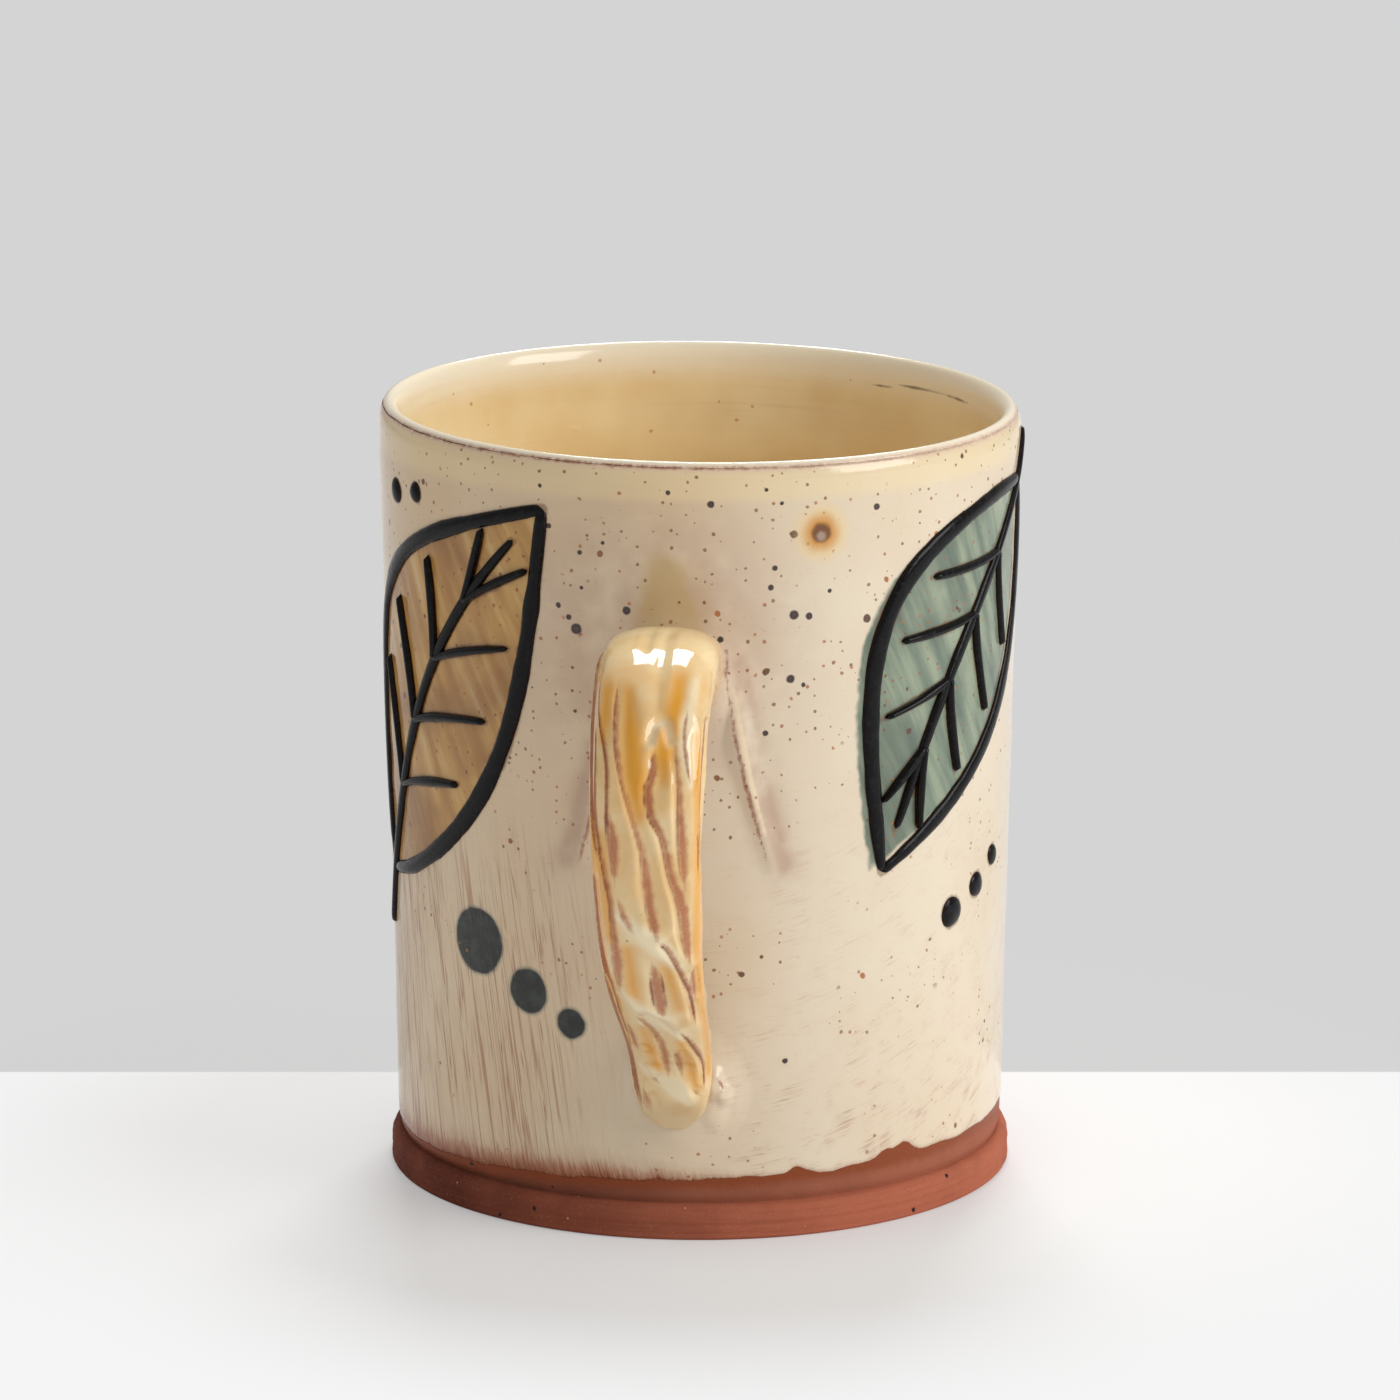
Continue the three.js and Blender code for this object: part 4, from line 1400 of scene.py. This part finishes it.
# Marks along the edge of a layer: the layer, the size and amount of its waver, where the colour
# starts and where it is full, and how strong it is
edge_marks = {
    "green_wash": ("green_edge", 3, 0.7, 0.4, -0.4, 0.96),
    "back_wash": ("back_edge", 3, 0.9, 0.6, -0.6, 0.9),
    "smear": ("smear_edge", 4, 1.2, 1.4, -1.0, 0.7),
    "trail_rust_and_shade_halo": ("trail_edge", 1.2, 0.3, 0.45, 0.0, 0.6),
    "wing_highlight": ("pale_and_highlight_edge", 0.8, 0.2, 0.25, -0.2, 0.8),
    "flaw": ("flaw_edge", 2.0, 0.14, 0.22, -0.05, 0.8),
    "pool": ("honey_edge", 3.0, 0.3, 1.9, -0.8, 0.95),
    "pinch_and_arch_highlight": ("pale_and_highlight_edge", 1.6, 0.3, 1.2, -0.6, 0.9),
    "root": ("from_root", 3, 1.0, root_sink + 4.5, root_sink + 0.5, 0.85),
    "tip": ("from_tip", 2.5, 1.2, 8.0, 2.5, 0.85),
    "bead_side": ("bead_side", 1.0, 0.08, 0.85, 1.0, 0.5),
}
# Streaks of noise: size, stretch along each axis, detail, roughness
noise_streaks = {
    "steep": (0.24, (1, 1, 30), 3, 0.6),
    "clumps": (3.2, (1, 1, 4), 3, 0.5),
    "level": (0.35, (12, 12, 1), 3, 0.65),
    "wash": (2.6, (1, 1, 6), 4, 0.5),
    "fringe": (0.35, (1, 1, 9), 4, 0.7),
    "inside": (1.1, (26, 26, 1), 3, 0.6),
    "foot": (0.4, (40, 40, 1), 3, 0.5),
}
# Hairs of the brush: size, width of each, size of the patches they stand in, where a patch starts
steep_hairs = ((0.6, 0.05, 1.6, 0.46), (1.5, 0.028, 3, 0.44))
# Patches of noise: size, detail, roughness, and where they start and are full
noise_patches = {
    "breaks in the lip line": (0.9, 4, 0.7, 0.34, 0.6),
    "arcs": (3, 4, 0.5, 0.4, 0.72),
    "thin slip and shade": (5, 4, 0.5, 0.15, 0.65),
    "level lines": (4, 3, 0.5, 0.45, 0.7),
    "deep wash": (13, 3, 0.5, 0.4, 0.62),
    "green dots": (1.8, 4, 0.5, 0.35, 0.7),
    "red lines": (0.45, 3, 0.5, 0.05, 0.5),
    "cuts": (0.32, 3, 0.5, -0.05, 0.5),
    "inside": (20, 3, 0.5, 0.35, 0.65),
    "handle": (6, 3, 0.5, 0.35, 0.65),
    "black slip": (0.9, 5, 0.6, 0.48, 0.75),
}
# Scattered specks: size of the cells they stand in, largest radius, share of cells with one
fine_specks = (1.1, 0.26, 0.75)
middling_specks = (3.1, 0.48, 0.45)
coarse_specks = (6.4, 0.62, 0.6)
inside_fine_specks = (2.4, 0.3, 0.6)
inside_coarse_specks = (7.5, 0.5, 0.5)
handle_specks = (2.2, 0.22, 0.5)
foot_specks = (4.5, 0.45, 0.6)
foot_sand = (1.6, 0.14, 0.35)
wall_specks = (4.0, 0.4, 0.5)
speck_softness = 0.15
glaze_ior = 1.5
honey_ior = 1.52
bare_clay_ior = 1.45
glazed_clay_ior = 1.48

# Colours
cream = colour(236, 221, 196)
tan_cream = colour(222, 191, 150)
thin_slip_and_shade_pink = colour(188, 152, 128)
streak_red = colour(156, 88, 58)
arc_red = colour(202, 142, 114)
iron_brown = colour(106, 62, 36)
iron_rust = colour(184, 112, 54)
iron_black = colour(70, 54, 50)
rust_orange = colour(212, 142, 44)
glaze_brown = colour(126, 62, 28)
clay_dark = colour(112, 60, 46)
lip_blush = colour(228, 196, 172)
lip_red = colour(160, 104, 78)
ochre_thin = colour(212, 166, 92)
ochre_thick = colour(174, 120, 56)
ochre_deep = colour(140, 88, 38)
green_thin = colour(158, 170, 144)
green_thick = colour(98, 118, 102)
green_deep = colour(66, 84, 76)
dot_dark = colour(24, 27, 23)
dot_light = colour(48, 55, 48)
dot_halo = colour(120, 128, 112)
smear_honey = colour(204, 176, 124)
trail_rust_and_shade = colour(116, 66, 30)
wing_line_red = colour(150, 78, 52)
wing_painted_highlight = colour(250, 230, 194)
edge_pink = colour(178, 122, 92)
edge_orange = colour(160, 88, 46)
rim_honey = colour(248, 224, 168)
# Painted shine on the large iron specks
speck_painted_shine = colour(128, 114, 112)
rust_glow = colour(244, 206, 130)
rust_brown = colour(124, 78, 42)
rust_pale = colour(172, 146, 128)
inside_pale = colour(246, 222, 172)
inside_honey = colour(236, 206, 150)
inside_lip = colour(252, 240, 214)
inside_ring = colour(190, 146, 92)
flaw_brown = colour(112, 82, 62)
honey_light = colour(246, 214, 160)
honey_warm = colour(240, 198, 136)
honey_crest = colour(254, 234, 182)
# Painted light for the lower strap
lower_strap_painted_light = colour(255, 236, 190)
honey_flute = colour(208, 150, 70)
honey_pool = colour(238, 164, 36)
honey_pinch_and_highlight = colour(255, 238, 200)
root_pink_and_shade = colour(212, 180, 148)
tip_cream = colour(230, 202, 156)
cut_mauve = colour(192, 118, 78)
cut_rust = colour(162, 78, 38)
cut_line_red = colour(136, 58, 28)
slip_black = colour(8, 6, 7)
slip_sheen = colour(26, 26, 30)
bead_rust = colour(60, 32, 20)
foot_pale = colour(184, 106, 80)
# Painted shade for the foot's left side
foot_painted_shade = colour(108, 56, 42)
grit_black = colour(44, 36, 34)
grit_pale = colour(206, 146, 118)
sand_pale = colour(222, 172, 140)
wall_pale = colour(164, 98, 74)
# Painted shade for the clay wall's left side
wall_painted_shade = colour(92, 50, 36)
wall_glaze = colour(142, 70, 38)
wall_grit = colour(40, 34, 34)
table_white = colour(245, 245, 245)

# The larger iron specks: [across, height, radius]
iron_specks = [
    (-18.3, 102.2, 0.3), (-17.1, 96.8, 0.4), (-9.4, 95.1, 0.3), (-12.6, 93.5, 0.35),
    (-12.4, 88.6, 0.3), (-15.8, 85.9, 0.4), (-14.3, 84.4, 0.4), (-13.2, 82.9, 0.75),
    (-6.2, 85.9, 0.55), (-0.6, 102.5, 0.35), (5.0, 101.0, 0.5), (12.3, 102.9, 0.3),
    (14.4, 101.0, 0.3), (28.1, 99.5, 0.5), (16.1, 96.6, 0.55), (13.5, 92.0, 0.4),
    (13.0, 89.3, 0.45), (21.2, 88.4, 0.35), (16.2, 85.4, 0.65), (18.3, 85.1, 0.5),
    (6.2, 82.3, 0.5), (8.1, 78.5, 0.4), (15.8, 76.7, 0.6), (17.6, 75.8, 0.35),
    (12.4, 69.5, 0.4), (15.5, 24.3, 0.4),
]
rust_spot = (19.9, 96.6)
# Across which the clay goes from painted shade at left to its lit colour at right, in millimetres
painted_shade_across = (-44, 30)


def lip_line(paint, base):
    """A thin, broken line of red clay where the slip ran off the lip."""
    reach = paint.math("ABSOLUTE", paint.uneven("line_reach", 0.8, 0.3))
    blush = paint.ramp(reach, 1.3, 0.2)
    base = paint.over(base, blush, 0.6, lip_blush)
    broken = paint.patches("breaks in the lip line")
    strength = paint.sloped(paint.ramp(paint.axis("X"), *lip_line_place), 0.5, 0.35)
    line = paint.times(paint.ramp(reach, 0.6, 0.1), broken)
    return paint.over(base, line, strength, lip_red)


def brush_streaks(paint):
    """Fine marks of the brush in the slip: steep ones at left and behind, sweeping ones at right."""
    steep_place = paint.twisted(steep_twist)

    def hairs(size, width, patch, least):
        """Thin upright lines where a stretched noise passes its middle, broken into lengths."""
        noise = paint.noise(size, stretch=(1, 1, 60), place=steep_place, detail=1)
        line = paint.ramp(paint.math("ABSOLUTE", paint.math("ADD", noise, -0.5)), width, width * 0.2)
        lengths = paint.noise(patch, stretch=(1, 1, 9), place=steep_place, detail=3)
        return paint.times(line, paint.ramp(lengths, least, least + 0.1))

    steep = paint.streaks("steep", steep_place)
    clumps = paint.streaks("clumps", steep_place)
    faint = paint.times(paint.ramp(steep, 0.5, 0.62), paint.ramp(clumps, 0.3, 0.7))
    steep_marks = paint.times(faint, 0.5)
    for hair in steep_hairs:
        steep_marks = paint.math("MAXIMUM", steep_marks, hairs(*hair))
    steep_marks = paint.times(steep_marks, paint.layer("steep_zone"))

    sweep = paint.node("CombineXYZ", {0: paint.times(paint.layer("arc_reach"), MM)})
    arc_place = paint.vector("ADD", sweep.outputs[0], paint.stretched((12, 12, 12)))[0]
    arc = paint.noise(0.26, place=arc_place, detail=4, roughness=0.7)
    arc_marks = paint.times(paint.ramp(arc, 0.5, 0.62), paint.patches("arcs"))
    arc_marks = paint.times(arc_marks, paint.layer("arc_zone"))
    return steep_marks, arc_marks


def scatter_specks(paint, base, upper):
    """Iron specks burnt through the glaze, in clusters, most of them above the middle."""
    crowd = paint.sloped(upper, 0.16, paint.noise(12, detail=3))
    few = paint.ramp(crowd, 0.5, 0.6)
    fine, tone = paint.specks(*fine_specks)
    shade = paint.mix(tone, iron_rust, iron_brown)
    base = paint.over(base, paint.times(fine, few), 0.8, shade)
    middling, tone = paint.specks(*middling_specks)
    shade = paint.mix(paint.ramp(tone, 0.1, 0.6), iron_rust, iron_brown)
    base = paint.over(base, paint.times(middling, few), 0.95, shade)
    coarse, tone = paint.specks(*coarse_specks)
    shade = paint.mix(tone, iron_brown, iron_black)
    return paint.over(base, paint.times(coarse, upper), 0.95, shade)


def paint_leaves(paint, base):
    """The washes behind the raised leaves, and the flat green dots."""
    ochre_edge = paint.uneven("ochre_edge", 3, 0.8)
    wash = paint.streaks("wash", paint.twisted(wash_twist))
    deep = paint.patches("deep wash")
    ochre = paint.mix(paint.ramp(wash, 0.3, 0.75), ochre_thin, ochre_thick)
    ochre = paint.over(ochre, deep, 0.6, ochre_deep)
    ochre_share = paint.times(paint.ramp(ochre_edge, 0.5, -0.5), paint.ramp(wash, 0.05, 0.45))
    base = paint.over(base, ochre_share, 0.95, ochre)
    green = paint.mix(paint.ramp(wash, 0.3, 0.72), green_thin, green_thick)
    green = paint.over(green, deep, 0.5, green_deep)
    base = paint.mark(base, "green_wash", green)
    base = paint.mark(base, "back_wash", ochre)
    dot_edge = paint.uneven("dot_edge", 2.2, 0.35)
    dot_green = paint.mix(paint.patches("green dots"), dot_dark, dot_light)
    base = paint.over(base, paint.ramp(dot_edge, 0.55, 0.1), 0.4, dot_halo)
    return paint.mix(paint.ramp(dot_edge, 0.2, -0.25), base, dot_green)


def paint_lines(paint, base):
    """The honey smear, the brown round the raised slip, which is rust and painted shade, and lines
    along the wings, with a painted highlight by the right one.
    """
    base = paint.mark(base, "smear", smear_honey)
    # Brown round the raised slip: rust, and painted shade beside the beads
    base = paint.mark(base, "trail_rust_and_shade_halo", trail_rust_and_shade)
    red = paint.ramp(paint.uneven("red_edge", 0.7, 0.35), 0.2, -0.15)
    base = paint.over(base, paint.times(red, paint.patches("red lines")), 0.75, wing_line_red)
    # A painted highlight along the right wing's lit slope
    return paint.mark(base, "wing_highlight", wing_painted_highlight)


def paint_slip_edge(paint, base):
    """The slip turns pink, orange and brown toward its frayed lower edge."""
    fringe = paint.streaks("fringe", paint.twisted(fringe_twist))
    frayed = paint.sloped(paint.layer("feathered"), 0.8, 0.2)
    fringe = paint.times(paint.sloped(fringe, -4.4, 2.2), frayed)
    low = paint.math("ADD", paint.uneven("above_edge", 3.5, 0.25), fringe)
    low = paint.math("DIVIDE", low, frayed)
    blush = paint.times(paint.ramp(low, *pink_band), paint.sloped(frayed, 0.5, 0.15))
    base = paint.mix(blush, base, edge_pink)
    orange = paint.times(paint.ramp(low, *orange_band), paint.times(frayed, 0.8))
    base = paint.mix(orange, base, edge_orange)
    return paint.over(base, paint.ramp(low, *brown_band), 0.95, glaze_brown)


def paint_large_specks(paint, base):
    """The larger iron specks with a painted shine at their middles, and the rust spot, each in its
    own place.
    """
    for across, up, radius in iron_specks:
        reach = paint.wobble(paint.spot(on_wall(across, up, 0)), 0.6, 0.12)
        base = paint.mix(paint.ramp(reach, radius * 1.2, radius * 0.8), base, iron_black)
        # A painted shine in the middle of each large speck
        base = paint.over(base, paint.ramp(reach, radius * 0.6, 0.0), 0.25, speck_painted_shine)
    reach = paint.wobble(paint.spot(on_wall(*rust_spot, 0)), 1.8, 0.4)
    base = paint.over(base, paint.ramp(reach, *rust_glow_reach), 0.45, rust_glow)
    base = paint.over(base, paint.ramp(reach, *rust_reach), 0.9, rust_orange)
    base = paint.mix(paint.ramp(reach, *rust_core_reach), base, rust_brown)
    pale = paint.wobble(paint.spot(on_wall(rust_spot[0], rust_spot[1] - rust_pale_drop, 0)), 0.9, 0.3)
    return paint.mix(paint.ramp(pale, *rust_pale_reach), base, rust_pale)


def slip_material():
    paint = Paint("cream_slip_under_glaze")
    cloudy = paint.sloped(paint.noise(24, detail=3), 0.9, -0.45)
    warm = paint.math("ADD", paint.layer("warmth"), cloudy, clamp=True)
    base = paint.mix(warm, cream, tan_cream)
    # Pink where the slip is thin, with painted shade round the handle's root
    pink = paint.times(paint.layer("thin_slip_and_shade"), paint.patches("thin slip and shade"))
    base = paint.mix(pink, base, thin_slip_and_shade_pink)

    level = paint.streaks("level")
    level_marks = paint.times(paint.ramp(level, 0.56, 0.72), paint.patches("level lines"))
    base = paint.over(base, level_marks, 0.18, arc_red)
    steep_marks, arc_marks = brush_streaks(paint)
    base = paint.over(base, arc_marks, 0.55, arc_red)
    base = paint.over(base, steep_marks, 0.6, streak_red)

    base = paint_leaves(paint, base)
    base = paint_lines(paint, base)
    base = paint_slip_edge(paint, base)
    level = paint.axis("Z")
    upper = paint.ramp(level, *upper_part)
    base = paint.over(base, paint.ramp(level, *rim_band), 0.4, rim_honey)
    base = scatter_specks(paint, base, upper)
    base = paint_large_specks(paint, base)
    base = lip_line(paint, base)

    marks = paint.math("MAXIMUM", steep_marks, arc_marks)
    normal = paint.bump(paint.noise(1.1, detail=2), 0.03)
    normal = paint.bump(marks, 0.03, normal)
    roughness = paint.sloped(marks, 0.15, 0.12)
    return paint.finish(base, roughness, normal, IOR=glaze_ior)


def liner_material():
    paint = Paint("cream_slip_inside")
    cloudy = paint.patches("inside")
    base = paint.mix(cloudy, inside_pale, inside_honey)
    lip = paint.ramp(paint.layer("inside_height"), lip_base - 4.0, lip_base + 1.5)
    base = paint.over(base, lip, 0.9, inside_lip)
    lines = paint.streaks("inside")
    below = paint.math("SUBTRACT", 1.0, lip)
    shown = paint.times(paint.ramp(lines, 0.5, 0.8), below)
    base = paint.over(base, shown, 0.14, inside_ring)
    base = paint.mark(base, "flaw", flaw_brown)
    fine, _ = paint.specks(*inside_fine_specks)
    base = paint.over(base, fine, 0.6, iron_rust)
    coarse, _ = paint.specks(*inside_coarse_specks)
    base = paint.over(base, coarse, 0.8, iron_brown)
    base = lip_line(paint, base)
    normal = paint.bump(lines, 0.015, paint.bump(paint.noise(1.2, detail=2), 0.02))
    roughness = paint.sloped(paint.ramp(lines, 0.4, 0.8), 0.05, 0.1)
    return paint.finish(base, roughness, normal, IOR=glaze_ior)


def honey_material():
    paint = Paint("honey_glaze_over_slip")
    base = paint.mix(paint.patches("handle"), honey_light, honey_warm)
    level = paint.axis("Z")
    top = paint.ramp(paint.wobble(level, 4.0, 5.0), crest_height - 5, crest_height + 1)
    base = paint.over(base, top, 0.5, honey_crest)
    # Painted light: the strap is paler below its bend, as if more brightly lit there
    base = paint.over(base, paint.ramp(level, *painted_light_below), 0.4, lower_strap_painted_light)
    base = paint.over(base, paint.ramp(paint.layer("valley"), 0.5, 1.0), 0.5, honey_flute)
    base = paint.mark(base, "pool", honey_pool)
    # Pale where the strap is pinched proud, with a painted highlight on the arch above the scoop
    base = paint.mark(base, "pinch_and_arch_highlight", honey_pinch_and_highlight)
    # Pink of thin slip, with painted shade where the strap goes into the wall and along its flanks
    # there
    base = paint.mark(base, "root", root_pink_and_shade)
    edge = paint.uneven("cut_edge", 1.1, 0.3)
    red_share = paint.layer("cut_red")
    mauve = paint.times(paint.ramp(edge, 0.3, -0.45), paint.patches("cuts"))
    cut = paint.mix(red_share, cut_mauve, cut_rust)
    base = paint.over(base, mauve, 0.9, cut)
    line = paint.ramp(paint.uneven("cut_line", 0.9, 0.12), 0.36, 0.02)
    line = paint.times(line, paint.sloped(red_share, 0.5, 0.45))
    base = paint.mix(line, base, cut_line_red)
    base = paint.mark(base, "tip", tip_cream)
    fine, _ = paint.specks(*handle_specks)
    base = paint.over(base, fine, 0.6, iron_brown)
    normal = paint.bump(paint.noise(2.2, detail=1), 0.012)
    roughness = paint.sloped(mauve, 0.28, 0.07)
    return paint.finish(base, roughness, normal, IOR=honey_ior)


def black_slip_material():
    paint = Paint("black_slip_under_glaze")
    mottled = paint.patches("black slip")
    base = paint.mix(mottled, slip_black, slip_sheen)
    base = paint.mark(base, "bead_side", bead_rust)
    normal = paint.bump(paint.noise(0.8, detail=3), 0.03)
    roughness = paint.sloped(mottled, 0.3, 0.16)
    return paint.finish(base, roughness, normal, IOR=glaze_ior, Specular_IOR_Level=0.18)


def clay_shaded_at_left(paint, pale, dark):
    """Clay with painted shade, darker at left away from the light and paler at right, with an
    unevenness of tone.
    """
    # Painted shade: the clay goes from its shaded colour at left to its lit colour at right
    side = paint.ramp(paint.axis("X"), *painted_shade_across)
    uneven = paint.sloped(paint.noise(9, detail=4), 0.8, -0.4)
    return paint.mix(paint.math("ADD", side, uneven, clamp=True), dark, pale)


def clay_material():
    paint = Paint("bare_red_clay")
    base = clay_shaded_at_left(paint, foot_pale, foot_painted_shade)
    lines = paint.streaks("foot")
    base = paint.over(base, paint.ramp(lines, 0.5, 0.8), 0.3, clay_dark)
    dark, _ = paint.specks(*foot_specks)
    base = paint.mix(dark, base, grit_black)
    grit = paint.noise(0.35, detail=4, roughness=0.65)
    base = paint.over(base, paint.ramp(grit, 0.55, 0.75), 0.35, grit_pale)
    sand, _ = paint.specks(*foot_sand)
    base = paint.over(base, sand, 0.8, sand_pale)
    normal = paint.bump(lines, 0.08, paint.bump(grit, 0.08))
    roughness = paint.sloped(grit, 0.2, 0.7)
    return paint.finish(base, roughness, normal, IOR=bare_clay_ior, Specular_IOR_Level=0.12)


def wall_clay_material():
    """Clay with a thin run of dark glaze just below the slip."""
    paint = Paint("clay_with_glaze_edge")
    base = clay_shaded_at_left(paint, wall_pale, wall_painted_shade)
    near = paint.ramp(paint.uneven("below_slip", 2.0, 0.6), 1.8, 0.2)
    base = paint.over(base, near, 0.85, wall_glaze)
    dark, _ = paint.specks(*wall_specks)
    base = paint.mix(dark, base, wall_grit)
    grit = paint.noise(0.4, detail=4)
    normal = paint.bump(grit, 0.06)
    roughness = paint.sloped(near, -0.3, 0.7)
    return paint.finish(base, roughness, normal, IOR=glazed_clay_ior, Specular_IOR_Level=0.15)


# Stage

camera_distance = 936.7
camera_height = 280.0
camera_turn = math.radians(4.7)
camera_pitch = math.radians(12.974)
camera_lens = 180
sensor_width = 36
table_line = 38.8
table_line_blur = 0.3
floor_half = 6.0
shadow_reach = (44, 125)
floor_glow = 0.3
sweep_glow = 0.9
backdrop_grey = colour(212, 212, 212)
ambient_light = 0.45
# The lamps: name, place and size in metres, watts
lamps = [
    ("overhead_softbox", (0.0, 0.8, 0.9), 0.42, 7.0),
    ("right_softbox", (1.4, -0.5, 0.75), 0.9, 13.0),
]


def make_camera():
    data = bpy.data.cameras.new("camera")
    data.sensor_width = sensor_width
    data.lens = camera_lens
    camera = bpy.data.objects.new("camera", data)
    sideways, back = math.sin(camera_turn), math.cos(camera_turn)
    reach = Vector((sideways, -back, 0)) * camera_distance
    camera.location = (reach + Vector((0, 0, camera_height))) * MM
    camera.rotation_euler = (math.pi / 2 - camera_pitch, 0, camera_turn)
    bpy.context.scene.collection.objects.link(camera)
    bpy.context.scene.camera = camera


def seen_by_camera(tree):
    """One for what the camera sees and nought for light."""
    return tree.nodes.new("ShaderNodeLightPath").outputs["Is Camera Ray"]


def make_floor():
    """A white table top, and a grey sweep behind it that shows the same grey far off."""
    mesh = bpy.data.meshes.new("floor")
    corners = [(x * floor_half, y * floor_half, 0) for x, y in ((-1, -1), (1, -1), (1, 1), (-1, 1))]
    mesh.from_pydata(corners, [], [(0, 1, 2, 3)])
    floor = bpy.data.objects.new("floor", mesh)
    bpy.context.scene.collection.objects.link(floor)
    paint = Paint("pale_floor")
    back = paint.axis("Y", paint.turned(-camera_turn))
    behind = paint.ramp(back, table_line - table_line_blur, table_line + table_line_blur)
    base = paint.mix(behind, table_white, backdrop_grey)
    normal = paint.bump(paint.noise(3, detail=2), 0.01)
    mesh.materials.append(paint.finish(base, paint.sloped(behind, 0.2, 0.7), normal))
    far = paint.ramp(paint.spot(np.zeros(3)), *shadow_reach)
    glow = paint.node("Emission", {"Color": base})
    least = paint.math("MAXIMUM", floor_glow, paint.times(behind, sweep_glow))
    flat = paint.times(paint.math("MAXIMUM", far, least), seen_by_camera(paint.tree))
    both = paint.node("MixShader", {0: flat, 1: paint.shader.outputs[0], 2: glow.outputs[0]})
    paint.feed(paint.tree.nodes["Material Output"], {0: both.outputs[0]})


def add_lamp(name, place, size, watts):
    data = bpy.data.lights.new(name, "AREA")
    data.shape = "SQUARE"
    data.size = size
    data.energy = watts
    lamp = bpy.data.objects.new(name, data)
    lamp.location = place
    aim = Vector((0, 0, mug_height / 2 * MM)) - Vector(place)
    lamp.rotation_euler = aim.to_track_quat("-Z", "Y").to_euler()
    bpy.context.scene.collection.objects.link(lamp)


def make_light():
    for lamp in lamps:
        add_lamp(*lamp)
    world = bpy.data.worlds.new("studio")
    bpy.context.scene.world = world
    world.use_nodes = True
    tree = world.node_tree
    ambient = tree.nodes["Background"]
    ambient.inputs["Color"].default_value = (1, 1, 1, 1)
    ambient.inputs["Strength"].default_value = ambient_light
    seen = tree.nodes.new("ShaderNodeBackground")
    seen.inputs["Color"].default_value = backdrop_grey
    both = tree.nodes.new("ShaderNodeMixShader")
    tree.links.new(seen_by_camera(tree), both.inputs[0])
    tree.links.new(ambient.outputs[0], both.inputs[1])
    tree.links.new(seen.outputs[0], both.inputs[2])
    tree.links.new(both.outputs[0], tree.nodes["World Output"].inputs[0])


make_camera()
make_floor()
make_light()
clay = clay_material()
make_foot(clay)
make_clay_wall(wall_clay_material())
make_slip_coat(slip_material())
make_liner(liner_material())
make_handle(honey_material())
black_slip = black_slip_material()
make_trails(black_slip)
make_dots(black_slip)

bpy.context.scene.view_settings.view_transform = "Standard"
bpy.context.view_layer.update()
